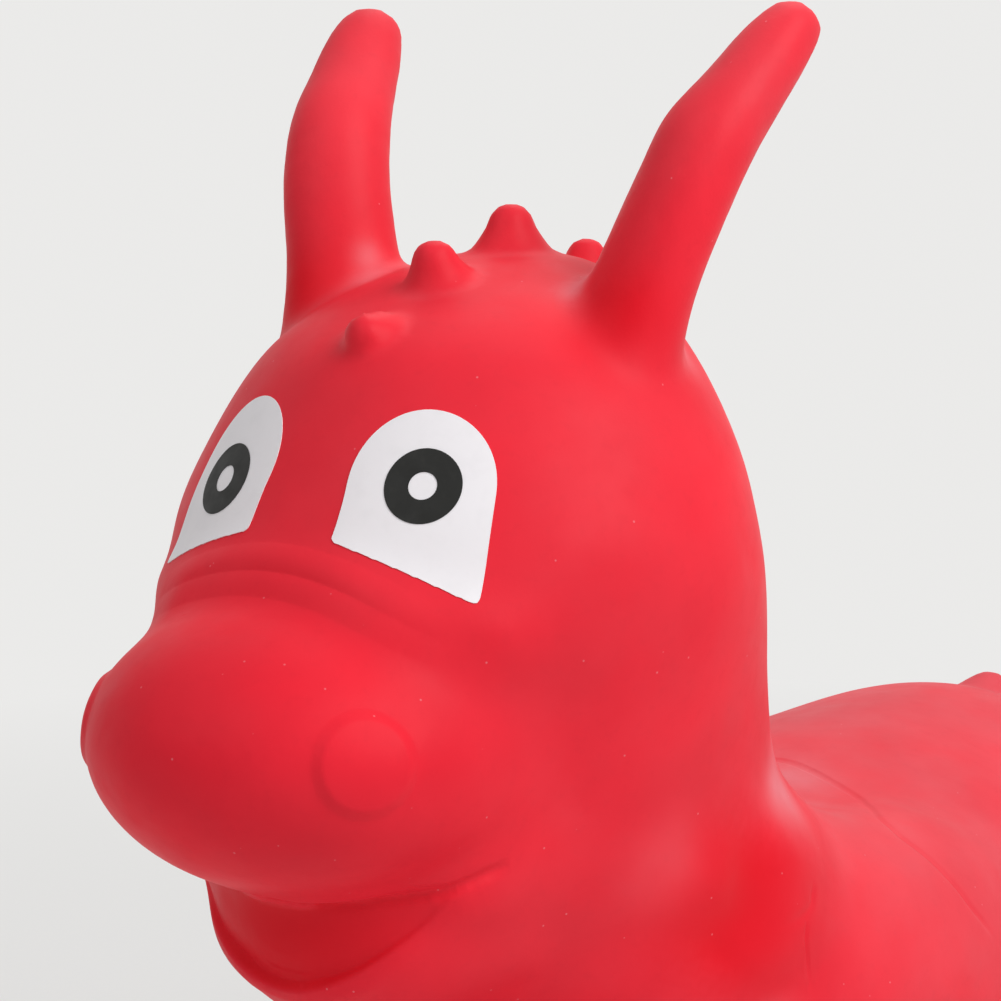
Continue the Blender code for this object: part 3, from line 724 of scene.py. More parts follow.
def bump_form(skin, y, radius, height, tip_radius, lean):
    """Blunt cone that stands on the crown."""
    hit, spot, normal, _ = skin.ray_cast(Vector((0, y, FAR_AWAY)), Vector((0, 0, -1)))
    if not hit:
        raise RuntimeError("no crown under a mane bump")
    square = Vector((0, normal.y, normal.z)).normalized()
    along = square.lerp(Vector((0, 0, 1)), lean).normalized()
    stations = [(*(spot + along * lift), size)
                for lift, size in ((-radius, BUMP_FOOT_FLARE * radius), (0.0, radius),
                                   (height - tip_radius, tip_radius))]
    return pull_tube("bump", stations, tip_radius, Vector((1, 0, 0)), 1.0)


def places_and_normals(item):
    """Return an object's vertex places and normals as arrays."""
    count = len(item.data.vertices)
    places = np.zeros(count * 3, np.float32)
    normals = np.zeros(count * 3, np.float32)
    item.data.vertices.foreach_get("co", places)
    item.data.vertices.foreach_get("normal", normals)
    return places.reshape(-1, 3).astype(float), normals.reshape(-1, 3).astype(float)


def ease(values, start, end):
    """Rise smoothly from 0 at start to 1 at end."""
    t = np.clip((values - start) / (end - start), 0.0, 1.0)
    return t * t * (3 - 2 * t)


def paint(item, name, weights):
    """Paint a vertex group with weights."""
    group = item.vertex_groups.new(name=name)
    for index in np.flatnonzero(weights > LEAST_WEIGHT):
        group.add([int(index)], float(min(weights[index], 1.0)), "REPLACE")


def even_out(item, middle, reach, rounds):
    """Smooth the skin round a place on each side."""
    places, _ = places_and_normals(item)
    places[:, 0] = np.abs(places[:, 0])
    away = np.linalg.norm((places - middle) / reach, axis=1)
    paint(item, "evened", ease(away, 1.0, EVENED_CORE))
    soften(item, rounds, "evened")
    item.vertex_groups.clear()


def spot_weights(places, middle, radius):
    """Return a weight that is full at a place on each side and fades out round it."""
    folded = places.copy()
    folded[:, 0] = np.abs(folded[:, 0])
    return np.exp(-(np.linalg.norm(folded - middle, axis=1) / radius) ** 2)


def raise_by_weight(item, name, weights, height):
    """Paint a vertex group and push it out along the normals by a height; a negative one sinks it."""
    paint(item, name, weights)
    push = item.modifiers.new(name, "DISPLACE")
    push.vertex_group = name
    push.mid_level = 0.0
    push.strength = height
    apply_modifiers(item)


def refine(item, choose, rounds):
    """Subdivide the faces whose middles are chosen, and smooth them for a number of rounds."""
    mesh = item.data
    middles = np.zeros(len(mesh.polygons) * 3, np.float32)
    mesh.polygons.foreach_get("center", middles)
    chosen = choose(middles.reshape(-1, 3).astype(float))
    lone(item)
    for part in (mesh.vertices, mesh.edges):
        part.foreach_set("select", np.zeros(len(part), bool))
    mesh.polygons.foreach_set("select", chosen)
    bpy.ops.object.mode_set(mode="EDIT")
    bpy.ops.mesh.select_mode(type="FACE")
    bpy.ops.mesh.subdivide(number_cuts=1)
    if rounds:
        bpy.ops.mesh.vertices_smooth(factor=SOFTENING, repeat=rounds)
    bpy.ops.mesh.select_mode(type="VERT")
    bpy.ops.object.mode_set(mode="OBJECT")


def nostril_places(skin):
    """Return the middle and normal of each nostril disc on the snout."""
    found = []
    for side in (-1, 1):
        outward = direction(side * NOSTRIL_TURN, NOSTRIL_RISE)
        hit, spot, normal, _ = skin.ray_cast(Vector(NOSTRIL_START), outward)
        if not hit:
            raise RuntimeError("no snout under a nostril")
        found.append((np.array(spot), np.array(normal)))
    return found


def nostril_weights(places, spots, radius):
    """Return the share of the nostril height at each place."""
    weights = np.zeros(len(places))
    for spot, normal in spots:
        offset = places - spot
        height = offset @ normal
        away = np.linalg.norm(offset - height[:, None] * normal, axis=1)
        weights += ease(away, radius + NOSTRIL_EDGE, radius) * (np.abs(height) < radius)
    return weights


def fold_weights(places):
    """Return the share of the fold height at each place: full between two valleys, none in them."""
    x, y, z = places.T
    across = np.abs(x) / FOLD_HALF_SPAN
    level = z + FOLD_DROP * x ** 2
    weights = np.zeros(len(places))
    for top, bottom in zip(FOLD_VALLEYS, FOLD_VALLEYS[1:]):
        inside = np.clip((top - level) / (top - bottom), 0.0, 1.0)
        weights += np.sin(math.pi * inside) ** FOLD_FULLNESS
    fade = np.clip(1 - across ** 2, 0.0, 1.0)
    return weights * fade * (y < FOLD_BACK_Y)


def mouth_weights(places, normals, lip_width):
    """Return the shares of the mouth's sink and of the lower lip's swell at each place."""
    x, y, z = places.T
    across = np.abs(x - MOUTH_MIDDLE_X) / MOUTH_HALF_WIDTH
    opening = MOUTH_TOP - MOUTH_BOTTOM
    slope = 2 * opening * across / MOUTH_HALF_WIDTH
    outside = (MOUTH_BOTTOM + opening * across ** 2 - z) / np.hypot(1.0, slope)
    near = (across < 1) & (y > MOUTH_FRONT_Y) & (y < MOUTH_BACK_Y) & (z < MOUTH_TOP)
    facing = ease(-normals[:, 1], 0.0, MOUTH_FACING) * ease(normals[:, 2], *MOUTH_UNDERSIDE) * near
    taper = np.clip(1 - across ** 2, 0.0, 1.0)
    sink = ease(outside, 0.0, -MOUTH_EDGE) * taper ** MOUTH_TAPER * facing
    half = 0.5 * lip_width
    swell = np.exp(-((outside - half) / half) ** 2) * taper * facing
    return sink, swell


def on_skin(skin, route):
    """Return a route with more points, each moved to the nearest place on the skin."""
    dense = spline_through(route, ROUTE_STEPS)
    return np.array([skin.closest_point_on_mesh(Vector(point))[1] for point in dense])


def crease_weights(places, dense, width, fade_in=SHORT_FADE, fade_out=SHORT_FADE):
    """Return the share of a crease's depth at each place, along a close row of points and its twin."""
    folded = places.copy()
    folded[:, 0] = np.abs(folded[:, 0])
    weights = np.zeros(len(places))
    low = dense.min(axis=0) - CREASE_MARGIN * width
    high = dense.max(axis=0) + CREASE_MARGIN * width
    near = np.flatnonzero(np.all((folded > low) & (folded < high), axis=1))
    away = np.linalg.norm(folded[near, None, :] - dense[None, :, :], axis=2)
    nearest = away.argmin(axis=1)
    along = nearest / (len(dense) - 1)
    fade = ease(along, FADE_START, fade_in) * ease(along, 1.0, 1.0 - fade_out)
    weights[near] = np.exp(-(away.min(axis=1) / (0.5 * width)) ** 2) * fade
    return weights


def cut_soles(skin):
    """Cut the feet flat on the floor."""
    select_all_in_edit(skin)
    bpy.ops.mesh.bisect(plane_co=(0, 0, 0), plane_no=(0, 0, 1), use_fill=True, clear_inner=True)
    bpy.ops.object.mode_set(mode="OBJECT")


def thin_out(item, triangles):
    """Merge faces where an object is flattest, until it has no more than a number of triangles."""
    count = sum(len(face.vertices) - 2 for face in item.data.polygons)
    thin = item.modifiers.new("Thin out", "DECIMATE")
    thin.ratio = min(triangles / count, 1.0)
    apply_modifiers(item)


def emboss(skin, shape):
    """Refine the face and the creases, then raise and sink what is moulded there."""
    for place in EVENED:
        even_out(skin, *place)
    flank_route = on_skin(skin, FLANK_CREASE)
    shoulder_route = on_skin(skin, SHOULDER_CREASE)
    wrinkle_route = on_skin(skin, SHOULDER_WRINKLE)
    lip_route = on_skin(skin, UPPER_LIP_CREASE)

    def is_face(middles):
        x, y, z = middles.T
        chosen = np.zeros(len(middles), bool)
        for area in FINE_FACE:
            level = (z > area.bottom) & (z < area.top) & (y < area.back)
            chosen |= level & (np.abs(x) >= area.inner) & (np.abs(x) < area.outer)
        return chosen

    def is_creased(middles):
        reach = FINE_CREASE_WIDTHS * shape.crease_width
        near = [crease_weights(middles, route, reach, fade_in=0.0)
                for route in (flank_route, shoulder_route, wrinkle_route)]
        return np.max(near, axis=0) > FINE_CREASE_WEIGHT

    for _ in range(FINE_ROUNDS):
        refine(skin, is_face, FACE_SMOOTHING)
        refine(skin, is_creased, 0)
    hollow_route = on_skin(skin, NECK_HOLLOW)
    places, normals = places_and_normals(skin)
    nostrils = nostril_weights(places, nostril_places(skin), shape.nostril_radius)
    sink, swell = mouth_weights(places, normals, shape.lip_width)
    width = shape.crease_width
    flank = crease_weights(places, flank_route, width, fade_in=0.0)
    shoulder = crease_weights(places, shoulder_route, SHOULDER_CREASE_WIDTH_SHARE * width,
                              LONG_FADE, LONG_FADE)
    wrinkle = crease_weights(places, wrinkle_route, SHOULDER_WRINKLE_WIDTH_SHARE * width,
                             LONG_FADE, LONG_FADE)
    hollow = crease_weights(places, hollow_route, NECK_HOLLOW_WIDTH, LONG_FADE, LONG_FADE)
    forms = [("nostrils", nostrils, shape.nostril_height),
             ("folds", fold_weights(places), shape.fold_height),
             ("mouth", sink, -shape.mouth_depth),
             ("lip", swell, shape.lip_height),
             ("upper lip", crease_weights(places, lip_route, UPPER_LIP_WIDTH), -UPPER_LIP_DEPTH),
             ("flank crease", flank, -shape.crease_depth),
             ("shoulder crease", np.maximum(shoulder, wrinkle), -SHOULDER_DEPTH_SHARE * shape.crease_depth),
             ("neck hollow", hollow, -NECK_HOLLOW_DEPTH)]
    forms += [(name, spot_weights(places, middle, radius), height)
              for name, middle, radius, height in SOFT_SPOTS]
    for name, weights, height in forms:
        raise_by_weight(skin, name, weights, height)
    skin.vertex_groups.clear()


def place_in_frame(skin):
    """Stretch the skin a little to the frame's box, put it there and return the move."""
    places, _ = places_and_normals(skin)
    low = Vector(places.min(axis=0))
    high = Vector(places.max(axis=0))
    for axis in range(3):
        share = (SKIN_HIGH[axis] - SKIN_LOW[axis]) / (high[axis] - low[axis])
        skin.scale[axis] = share
        skin.location[axis] = SKIN_LOW[axis] - share * low[axis]
    lone(skin)
    move = np.array(SKIN_LOW) - np.array(low)
    bpy.ops.object.transform_apply()
    return move


def boolean(item, tool, operation):
    """Join a tool to an object or cut it away, and remove the tool."""
    change = item.modifiers.new(operation.title(), "BOOLEAN")
    change.operation = operation
    change.solver = "EXACT"
    change.object = tool
    apply_modifiers(item)
    bpy.data.objects.remove(tool, do_unlink=True)


def fit_valve(skin):
    """Give the belly its raised valve collar and the hole for the stopper."""
    y = 0.5 * (PLUG_LOW.y + PLUG_HIGH.y)
    hit, spot, _, _ = skin.ray_cast(Vector((0, y, -FAR_AWAY)), Vector((0, 0, 1)))
    if not hit:
        raise RuntimeError("no belly over the valve")
    low = spot.z - VALVE_COLLAR_PROUD
    collar = [(VALVE_COLLAR_RADIUS - inset, low + lift) for inset, lift in VALVE_COLLAR_EDGE]
    boolean(skin, turned_form("collar", collar), "UNION")
    bore = [(VALVE_BORE_RADIUS, low + lift) for lift in (-VALVE_BORE_OVERSHOOT, VALVE_BORE_DEPTH)]
    boolean(skin, turned_form("bore", bore), "DIFFERENCE")


def mark_powder_sheen_and_shade(skin, shape, move):
    """Store at each vertex the share of pale powder and painted sheen, and the share of painted shade, where
    none of them is left.
    """
    places, normals = places_and_normals(skin)
    lone(skin)
    bpy.ops.object.duplicate()
    filled = bpy.context.object
    soften(filled, FILL_ROUNDS)
    lifted, _ = places_and_normals(filled)
    bpy.data.objects.remove(filled, do_unlink=True)
    depth = np.einsum("ij,ij->i", lifted - places, normals)
    drawn = places - move
    _, y, z = drawn.T
    # Pale powder in the hollows; painted sheen on the upward-facing trunk and the lit ear tips, and less on
    # the snout, which is in shade
    hollow = ease(depth, *HOLLOW_DEPTHS) * ease(y, *HOLLOW_Y) * ease(z, *HOLLOW_Z)
    trunk = ease(y, *TRUNK_Y) * ease(z, *TRUNK_Z) * ease(normals[:, 2], *TRUNK_FACING)
    snout = ease(y, *SNOUT_Y) * ease(z, *SNOUT_Z)
    ear_tips = ease(z, *EAR_TIP_Z)
    powder_and_sheen = POWDER_AND_SHEEN_SHARE + HOLLOW_POWDER_AND_SHEEN_SHARE * hollow
    for weights, share in ((trunk, TRUNK_POWDER_AND_SHEEN_SHARE), (snout, SNOUT_POWDER_AND_SHEEN_SHARE),
                           (ear_tips, EAR_TIP_POWDER_AND_SHEEN_SHARE)):
        powder_and_sheen += (share - POWDER_AND_SHEEN_SHARE) * weights
    for middle, radius, share in POWDER_AND_SHEEN_SPOTS:
        powder_and_sheen += share * spot_weights(drawn, middle, radius)
    hollow_route = np.array(spline_through(NECK_HOLLOW, STEPS_PER_STATION))
    # Painted shade along the hollow beside the neck, in front of the ears' feet and in the sunk mouth; there
    # it takes away the powder and painted sheen
    clean = crease_weights(drawn, hollow_route, PAINTED_SHADE_WIDTH, LONG_FADE, LONG_FADE)
    clean = np.maximum(clean, spot_weights(drawn, PAINTED_SHADE_SPOT, PAINTED_SHADE_SPOT_RADIUS))
    mouth, _ = mouth_weights(drawn, normals, shape.lip_width)
    powder_and_sheen *= (1 - np.clip(clean, 0.0, 1.0)) * (1 - np.clip(mouth, 0.0, 1.0))
    for name, values in (("powder_and_sheen", powder_and_sheen), ("clean", np.maximum(clean, mouth))):
        layer = skin.data.attributes.new(name, "FLOAT", "POINT")
        layer.data.foreach_set("value", values.astype(np.float32))


def new_material(name):
    """Return a material with its node tree, shader and Object coordinates."""
    material = bpy.data.materials.new(name)
    material.use_nodes = True
    tree = material.node_tree
    shader = tree.nodes["Principled BSDF"]
    coordinates = tree.nodes.new("ShaderNodeTexCoord")
    return material, tree, shader, coordinates.outputs["Object"]


def noise(tree, coordinates, scale, detail):
    """Return the grey output of a noise texture."""
    node = tree.nodes.new("ShaderNodeTexNoise")
    node.inputs["Scale"].default_value = scale
    node.inputs["Detail"].default_value = detail
    tree.links.new(coordinates, node.inputs["Vector"])
    return node.outputs["Fac"]


def stored(tree, name):
    """Return a value stored on the mesh."""
    node = tree.nodes.new("ShaderNodeAttribute")
    node.attribute_name = name
    return node.outputs["Fac"]


def ramp(tree, value, low, high, to_low, to_high):
    """Return a value mapped from one span to another and clamped."""
    node = tree.nodes.new("ShaderNodeMapRange")
    for key, number in (("From Min", low), ("From Max", high), ("To Min", to_low), ("To Max", to_high)):
        node.inputs[key].default_value = number
    tree.links.new(value, node.inputs["Value"])
    return node.outputs["Result"]


def times(tree, first, second):
    """Return the product of two values."""
    node = tree.nodes.new("ShaderNodeMath")
    node.operation = "MULTIPLY"
    tree.links.new(first, node.inputs[0])
    tree.links.new(second, node.inputs[1])
    return node.outputs["Value"]


def mix_colour(tree, share, first, second):
    """Return a mix of two colours, each an output or a plain colour."""
    node = tree.nodes.new("ShaderNodeMix")
    node.data_type = "RGBA"
    sockets = [socket for socket in node.inputs if socket.type == "RGBA"]
    for socket, colour in zip(sockets, (first, second)):
        if isinstance(colour, bpy.types.NodeSocket):
            tree.links.new(colour, socket)
        else:
            socket.default_value = colour
    tree.links.new(share, node.inputs["Factor"])
    return [socket for socket in node.outputs if socket.type == "RGBA"][0]


def pattern(tree, coordinates, spec):
    """Return a cloudy pattern: a noise with a span of it mapped to another."""
    value = noise(tree, coordinates, spec.scale, spec.detail)
    return ramp(tree, value, spec.start, spec.end, spec.low, spec.high)


def relief(tree, coordinates, spec, below=None):
    """Return a normal bent by a noise."""
    node = tree.nodes.new("ShaderNodeBump")
    node.inputs["Distance"].default_value = spec.depth
    node.inputs["Strength"].default_value = spec.strength
    tree.links.new(noise(tree, coordinates, spec.scale, spec.detail), node.inputs["Height"])
    if below:
        tree.links.new(below, node.inputs["Normal"])
    return node.outputs["Normal"]


def shade(colour, factor):
    """Return a colour made darker or lighter."""
    return tuple(min(channel * factor, 1.0) for channel in colour[:3]) + (1.0,)


def vinyl_material(colours):
    """Soft moulded vinyl: satin, a little uneven, with pale powder in the hollows, painted sheen and
    highlights, painted shade in the hollows beside the neck, in front of the ears and in the mouth, and
    specks of dust.
    """
    material, tree, shader, coordinates = new_material("soft_red_vinyl")
    red = tuple(colours.vinyl)
    clouds = pattern(tree, coordinates, VINYL_CLOUDS)
    colour = mix_colour(tree, clouds, shade(red, CLOUD_DARK), shade(red, CLOUD_LIGHT))
    colour = mix_colour(tree, pattern(tree, coordinates, VINYL_MOTTLE), colour, shade(red, MOTTLE_SHADE))

    # Painted shade: a darker, deeper red in the hollows beside the neck, in front of the ears' feet and in
    # the mouth
    clean = ramp(tree, stored(tree, "clean"), 0.0, 1.0, 0.0, PAINTED_SHADE_SHARE)
    colour = mix_colour(tree, clean, colour, tuple(colours.clean))
    # Pale powder with painted sheen and painted highlights
    powder_and_sheen = times(tree, stored(tree, "powder_and_sheen"), pattern(tree, coordinates, POWDER_AND_SHEEN_PATCHES))
    colour = mix_colour(tree, powder_and_sheen, colour, tuple(colours.powder_and_sheen_colour))

    dust = tree.nodes.new("ShaderNodeTexVoronoi")
    dust.inputs["Scale"].default_value = DUST_SCALE
    tree.links.new(coordinates, dust.inputs["Vector"])
    specks = ramp(tree, dust.outputs["Distance"], *DUST_RADII, DUST_SHARE, 0.0)
    colour = mix_colour(tree, specks, colour, tuple(colours.powder_and_sheen_colour))
    tree.links.new(colour, shader.inputs["Base Color"])

    tree.links.new(pattern(tree, coordinates, VINYL_SATIN), shader.inputs["Roughness"])
    waves = relief(tree, coordinates, VINYL_WAVES)
    tree.links.new(relief(tree, coordinates, VINYL_GRAIN, waves), shader.inputs["Normal"])
    shader.inputs["Specular IOR Level"].default_value = VINYL_SPECULAR
    return material


def marked_material(name, colour, marks, mark_shade, gloss, ripple):
    """Return a plain finish with faint marks, uneven gloss and fine relief, and its shader."""
    material, tree, shader, coordinates = new_material(name)
    plain = tuple(colour)
    marked = mix_colour(tree, pattern(tree, coordinates, marks), plain, shade(plain, mark_shade))
    tree.links.new(marked, shader.inputs["Base Color"])
    tree.links.new(pattern(tree, coordinates, gloss), shader.inputs["Roughness"])
    tree.links.new(relief(tree, coordinates, ripple), shader.inputs["Normal"])
    return material, shader


def film_material(colours):
    """White vinyl film: smooth, with faint scuffs."""
    material, _ = marked_material("white_eye_film", colours.film, FILM_SCUFFS, SCUFF_SHADE,
                                  FILM_GLOSS, FILM_RIPPLE)
    return material


def ink_material(colours):
    """Black print: matt, a little thin in places."""
    material, shader = marked_material("black_pupil_print", colours.ink, INK_THIN_SPOTS, THIN_INK_SHADE,
                                       INK_GLOSS, INK_RIPPLE)
    shader.inputs["Specular IOR Level"].default_value = INK_SPECULAR
    return material


def stopper_material(colours):
    """White moulded plastic with a little grime."""
    material, _ = marked_material("white_stopper_plastic", colours.stopper, STOPPER_GRIME, GRIME_SHADE,
                                  STOPPER_SATIN, STOPPER_GRAIN)
    return material


def dress(item, material, body, slot, *nodes):
    """Give a finished piece its material and its body, and hide the solids that it stands for."""
    item.data.materials.clear()
    item.data.materials.append(material)
    lone(item)
    bpy.ops.object.shade_smooth_by_angle(angle=SMOOTH_ANGLE)
    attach(item, body)
    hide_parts(*nodes)


class HOPPER_OT_skin(bpy.types.Operator):
    """Model the moulded skin with its ears, mane, tail, legs and face"""
    bl_idname = "hopper.skin"
    bl_label = "Moulded skin"

    def execute(self, context):
        shape = context.scene.hopper_shape
        body = [trunk_form(shape),
                upright_form("neck_and_head", NECK_AND_HEAD, CROWN_CAP),
                forward_form("jaw", JAW, JAW_CAP),
                forward_form("cheek", CHEEK, CHEEK_CAP),
                forward_form("snout", SNOUT, SNOUT_CAP),
                forward_form("bridge", BRIDGE, BRIDGE_CAP),
                shoulder_pair(),
                leg_pair(FRONT_LEG_Y, -LEG_STRIDE),
                leg_pair(HIND_LEG_Y, LEG_STRIDE)]
        skin = melt(body, BODY_VOXEL, BODY_ROUNDS)
        broad = Vector((math.cos(EAR_BROAD_TURN), math.sin(EAR_BROAD_TURN), 0))
        ears = mirrored(pull_tube("ears", EAR, EAR_CAP, broad, EAR_FLATNESS))
        tail = pull_tube("tail", TAIL, TAIL_CAP, Vector((1, 0, 0)), 1.0)
        skin = melt([skin, ears, tail], LIMB_VOXEL, LIMB_ROUNDS)
        bumps = [bump_form(skin, *bump) for bump in MANE_BUMPS]
        skin = melt([skin] + bumps, SKIN_VOXEL, SKIN_ROUNDS)
        skin.name = "moulded_skin"
        emboss(skin, shape)
        cut_soles(skin)
        thin_out(skin, SKIN_TRIANGLES)
        move = place_in_frame(skin)
        fit_valve(skin)
        mark_powder_sheen_and_shade(skin, shape, move)
        dress(skin, vinyl_material(context.scene.hopper_colours), "hopper", "red_vinyl", "skin")
        return {"FINISHED"}


def eye_outline(points, half_width):
    """Return the film's outline: an arch, two bowed sides and a slanting foot, round the pupil's middle."""
    outline = []
    for index in range(points + 1):
        angle = math.pi * index / points
        outline.append((EYE_SHIFT + half_width * math.cos(angle), EYE_ARCH * math.sin(angle)))
    shares = [step / points for step in range(1, points)]
    left = EYE_SHIFT - half_width
    right = EYE_SHIFT + half_width
    inner_foot = left - EYE_INNER_FLARE
    outer_foot = right - EYE_OUTER_TUCK
    outline += [(left - EYE_INNER_FLARE * share ** EYE_INNER_BOW, -EYE_INNER_DROP * share)
                for share in shares]
    outline += [(inner_foot + (outer_foot - inner_foot) * share,
                 -EYE_INNER_DROP + (EYE_INNER_DROP - EYE_OUTER_DROP) * share) for share in shares]
    outline += [(right - EYE_OUTER_TUCK * (1 - share) ** EYE_OUTER_BOW, -EYE_OUTER_DROP * (1 - share))
                for share in shares]
    path = np.array(outline)
    for _ in range(CORNER_ROUNDS):
        path = 0.5 * path + 0.25 * (np.roll(path, 1, axis=0) + np.roll(path, -1, axis=0))
    along = np.arange(len(path))
    ragged = np.sin(RAGGED_WAVES[0] * along) * np.sin(RAGGED_WAVES[1] * along)
    path[:, 1] += EYE_RAGGED_EDGE * ragged * (path[:, 1] < -RAGGED_BELOW_SHARE * EYE_INNER_DROP)
    return path


def eye_place(skin, side):
    """Return where an eye sits: a matrix with the film's middle and its face outwards."""
    start = Vector((side * EYE_X, -FAR_AWAY, EYE_Z))
    hit, middle, _, _ = skin.ray_cast(start, Vector((0, 1, 0)))
    if not hit:
        raise RuntimeError("no face under an eye")
    normal = direction(side * EYE_TURN, EYE_TILT)
    across = Vector((math.cos(EYE_TURN), side * math.sin(EYE_TURN), 0))
    place = Matrix((across, normal.cross(across), normal)).transposed().to_4x4()
    place.translation = middle + normal * EYE_HALF_WIDTH
    return place


def lay_film(name, place, outline, shares, closed, under, gap, thickness):
    """Lay a film of nested outlines on what is under it, and give it its thickness."""
    clear_selection()
    bpy.ops.mesh.primitive_circle_add(vertices=len(outline), radius=1.0, fill_type="NOTHING")
    film = bpy.context.object
    film.name = name
    for vertex, (u, v) in zip(film.data.vertices, outline):
        vertex.co = (u, v, 0.0)
    select_all_in_edit(film)
    for before, after in zip(shares, shares[1:]):
        bpy.ops.mesh.extrude_region_move()
        share = after / before
        bpy.ops.transform.resize(value=(share, share, 1.0), center_override=(0, 0, 0))
    if closed:
        bpy.ops.mesh.edge_face_add()
    leave_edit()
    if film.data.polygons[0].normal.z < 0:
        film.data.flip_normals()
    film.matrix_world = place
    wrap = film.modifiers.new("Lay down", "SHRINKWRAP")
    wrap.target = under
    wrap.wrap_method = "PROJECT"
    wrap.use_project_z = True
    wrap.use_negative_direction = True
    wrap.use_positive_direction = False
    wrap.wrap_mode = "ABOVE_SURFACE"
    wrap.offset = gap
    thicken = film.modifiers.new("Thickness", "SOLIDIFY")
    thicken.thickness = thickness
    thicken.offset = 1.0
    apply_modifiers(film)
    bpy.ops.object.transform_apply()
    return film


class HOPPER_OT_eyes(bpy.types.Operator):
    """Cut the white eye films and lay them on the face"""
    bl_idname = "hopper.eyes"
    bl_label = "Eye films"

    def execute(self, context):
        skin = bpy.data.objects["moulded_skin"]
        thickness = context.scene.hopper_shape.film_thickness
        material = film_material(context.scene.hopper_colours)
        for side, word in SIDES:
            half_width = EYE_HALF_WIDTH if side > 0 else EYE_HALF_WIDTH - EYE_RIGHT_NARROWING
            outline = [(side * u, v) for u, v in eye_outline(OUTLINE_POINTS, half_width)]
            film = lay_film("eye_film_" + word, eye_place(skin, side), outline, FILM_SHARES, True,
                            skin, FILM_GAP, thickness)
            dress(film, material, "hopper", "white_film", "eye_" + word)
        return {"FINISHED"}


class HOPPER_OT_pupils(bpy.types.Operator):
    """Print the black rings on the eye films"""
    bl_idname = "hopper.pupils"
    bl_label = "Printed pupils"

    def execute(self, context):
        skin = bpy.data.objects["moulded_skin"]
        thickness = PRINT_SHARE * context.scene.hopper_shape.film_thickness
        material = ink_material(context.scene.hopper_colours)
        hole = PUPIL_HOLE_RADIUS / PUPIL_RADIUS
        shares = [1.0 + (hole - 1.0) * step / PUPIL_STEPS for step in range(PUPIL_STEPS + 1)]
        angles = [2 * math.pi * index / PUPIL_POINTS for index in range(PUPIL_POINTS)]
        circle = [(PUPIL_RADIUS * math.cos(angle), PUPIL_RADIUS * math.sin(angle)) for angle in angles]
        for side, word in SIDES:
            drop = 0.0 if side > 0 else PUPIL_RIGHT_DROP
            place = eye_place(skin, side) @ Matrix.Translation((0, -drop, 0))
            film = bpy.data.objects["eye_film_" + word]
            ring = lay_film("pupil_print_" + word, place, circle, shares, False, film, FILM_GAP, thickness)
            dress(ring, material, "hopper", "black_print", "pupil_" + word)
        return {"FINISHED"}


def stopper_profile():
    """Return the stopper's radii and heights from the head's outer face to the tip."""
    low, high = PLUG_LOW.z, PLUG_HIGH.z
    head = PLUG_HIGH.x
    neck = low + STOPPER_HEAD_THICKNESS
    shank = STOPPER_SHANK_RADIUS
    profile = [(share * head, low + lift) for share, lift in STOPPER_OUTER_FACE]
    profile += [(share * head, neck + lift) for share, lift in STOPPER_INNER_FACE]
    profile += [(shank + STOPPER_FILLET, neck), (shank, neck + STOPPER_FILLET)]
    pitch = (high - STOPPER_TIP_LENGTH - neck) / (STOPPER_RIBS + 1)
    for rib in range(1, STOPPER_RIBS + 1):
        profile += [(shank + swell * STOPPER_RIB_HEIGHT, neck + pitch * (rib + share))
                    for share, swell in STOPPER_RIB]
    return profile + [(share * shank, high - distance) for share, distance in STOPPER_TIP]


class HOPPER_OT_stopper(bpy.types.Operator):
    """Turn the ribbed air stopper in its valve"""
    bl_idname = "hopper.stopper"
    bl_label = "Air stopper"

    def execute(self, context):
        stopper = turned_form("air_stopper", stopper_profile())
        material = stopper_material(context.scene.hopper_colours)
        dress(stopper, material, "stopper", "white_stopper", "valve_plug")
        return {"FINISHED"}


def seen_directly(tree):
    """Return 1 for what is seen straight, in a reflection or through a pane, and 0 for what only lights."""
    path = tree.nodes.new("ShaderNodeLightPath")
    seen = path.outputs["Is Camera Ray"]
    for key in ("Is Glossy Ray", "Is Transmission Ray"):
        either = tree.nodes.new("ShaderNodeMath")
        either.operation = "MAXIMUM"
        tree.links.new(seen, either.inputs[0])
        tree.links.new(path.outputs[key], either.inputs[1])
        seen = either.outputs["Value"]
    return seen


def floor_material(colours):
    """Pale paper that keeps the shadow near the object and runs out into an even background."""
    material = bpy.data.materials.new("pale_paper")
    material.use_nodes = True
    tree = material.node_tree
    output = tree.nodes["Material Output"]
    tree.nodes.remove(tree.nodes["Principled BSDF"])
    paper = tree.nodes.new("ShaderNodeBsdfDiffuse")
    glow = tree.nodes.new("ShaderNodeEmission")
    coordinates = tree.nodes.new("ShaderNodeTexCoord").outputs["Object"]
    plain = tuple(colours.floor)
    fibres = mix_colour(tree, pattern(tree, coordinates, PAPER_FIBRES), shade(plain, FIBRE_SHADE), plain)
    tree.links.new(fibres, paper.inputs["Color"])
    glow.inputs["Color"].default_value = colours.floor
    away = tree.nodes.new("ShaderNodeVectorMath")
    away.operation = "LENGTH"
    tree.links.new(coordinates, away.inputs[0])
    even = ramp(tree, away.outputs["Value"], SHADOW_REACH, FLOOR_REACH, FLOOR_GLOW, 1.0)
    share = times(tree, seen_directly(tree), even)
    mix = tree.nodes.new("ShaderNodeMixShader")
    tree.links.new(share, mix.inputs["Fac"])
    tree.links.new(paper.outputs["BSDF"], mix.inputs[1])
    tree.links.new(glow.outputs["Emission"], mix.inputs[2])
    tree.links.new(mix.outputs["Shader"], output.inputs["Surface"])
    return material


def studio_world(colours):
    """Even pale surroundings: full where they are seen, weaker as a light."""
    world = bpy.data.worlds.new("studio")
    world.use_nodes = True
    tree = world.node_tree
    background = tree.nodes["Background"]
    background.inputs["Color"].default_value = colours.floor
    strength = ramp(tree, seen_directly(tree), 0.0, 1.0, AMBIENT, 1.0)
    tree.links.new(strength, background.inputs["Strength"])
    return world


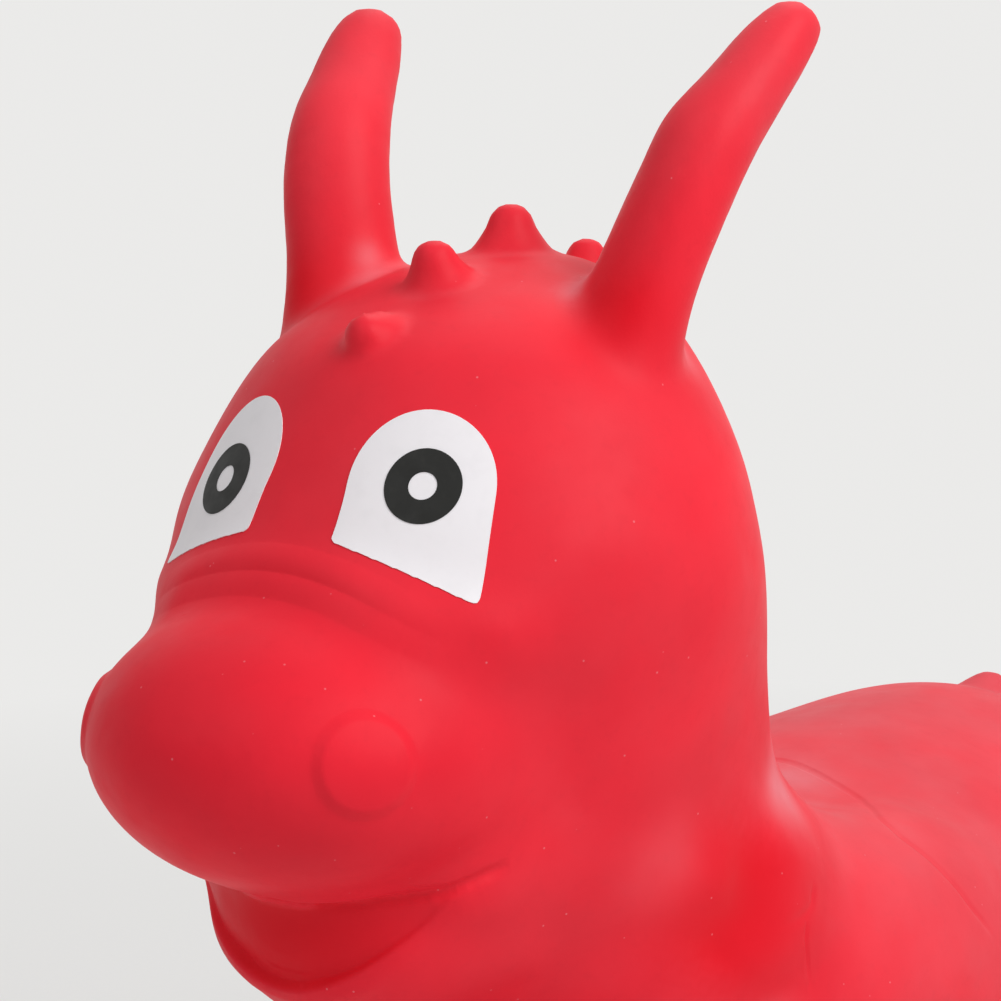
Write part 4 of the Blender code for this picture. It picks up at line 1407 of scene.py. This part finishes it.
def aim(item, turn, rise, distance):
    """Put a lamp or the camera at a distance from the head, facing it."""
    toward = direction(turn, rise)
    item.location = Vector(CAMERA_TARGET) + toward * distance
    item.rotation_euler = toward.to_track_quat("Z", "Y").to_euler()


def add_lamp(name, spec):
    """Add a soft square lamp that faces the object."""
    lamp = bpy.data.lights.new(name, "AREA")
    lamp.size = spec.size
    lamp.energy = spec.power
    item = bpy.data.objects.new(name, lamp)
    bpy.context.scene.collection.objects.link(item)
    aim(item, math.radians(spec.turn), math.radians(spec.rise), spec.distance)


class HOPPER_OT_stage(bpy.types.Operator):
    """Set the floor, the lamps and the camera"""
    bl_idname = "hopper.stage"
    bl_label = "Stage"

    def execute(self, context):
        scene = context.scene
        clear_selection()
        bpy.ops.mesh.primitive_plane_add(size=2 * FLOOR_HALF_WIDTH, location=(0, 0, 0))
        floor = context.object
        floor.name = "floor"
        floor.data.materials.append(floor_material(scene.hopper_colours))
        scene.world = studio_world(scene.hopper_colours)
        for name, spec in LAMPS.items():
            add_lamp(name, spec)

        camera = bpy.data.objects.new("camera", bpy.data.cameras.new("camera"))
        scene.collection.objects.link(camera)
        aim(camera, CAMERA_TURN, CAMERA_RISE, CAMERA_DISTANCE)
        camera.data.lens = CAMERA_LENS
        scene.camera = camera
        scene.view_settings.view_transform = "Standard"
        return {"FINISHED"}


class HOPPER_PT_sidebar(bpy.types.Panel):
    """Lists the pieces of the hopper"""
    bl_idname = "HOPPER_PT_sidebar"
    bl_label = "Animal hopper"
    bl_space_type = "VIEW_3D"
    bl_region_type = "UI"
    bl_category = "Hopper"

    def draw(self, context):
        for operator in OPERATORS:
            self.layout.operator(operator.bl_idname)
        for group in (context.scene.hopper_shape, context.scene.hopper_colours):
            for key in group.bl_rna.properties.keys():
                if key not in ("rna_type", "name"):
                    self.layout.prop(group, key)


OPERATORS = (HOPPER_OT_skin, HOPPER_OT_eyes, HOPPER_OT_pupils, HOPPER_OT_stopper, HOPPER_OT_stage)
CLASSES = (HopperShape, HopperColours) + OPERATORS + (HOPPER_PT_sidebar,)


def register():
    """Register the classes and hang the settings on the scene."""
    for item in CLASSES:
        bpy.utils.register_class(item)
    bpy.types.Scene.hopper_shape = bpy.props.PointerProperty(type=HopperShape)
    bpy.types.Scene.hopper_colours = bpy.props.PointerProperty(type=HopperColours)


def unregister():
    """Take the settings off the scene and unregister the classes."""
    del bpy.types.Scene.hopper_colours
    del bpy.types.Scene.hopper_shape
    for item in reversed(CLASSES):
        bpy.utils.unregister_class(item)


def main():
    """Build the hopper on its stage."""
    register()
    bpy.ops.hopper.skin()
    bpy.ops.hopper.eyes()
    bpy.ops.hopper.pupils()
    bpy.ops.hopper.stopper()
    bpy.ops.hopper.stage()


if __name__ == "__main__":
    main()
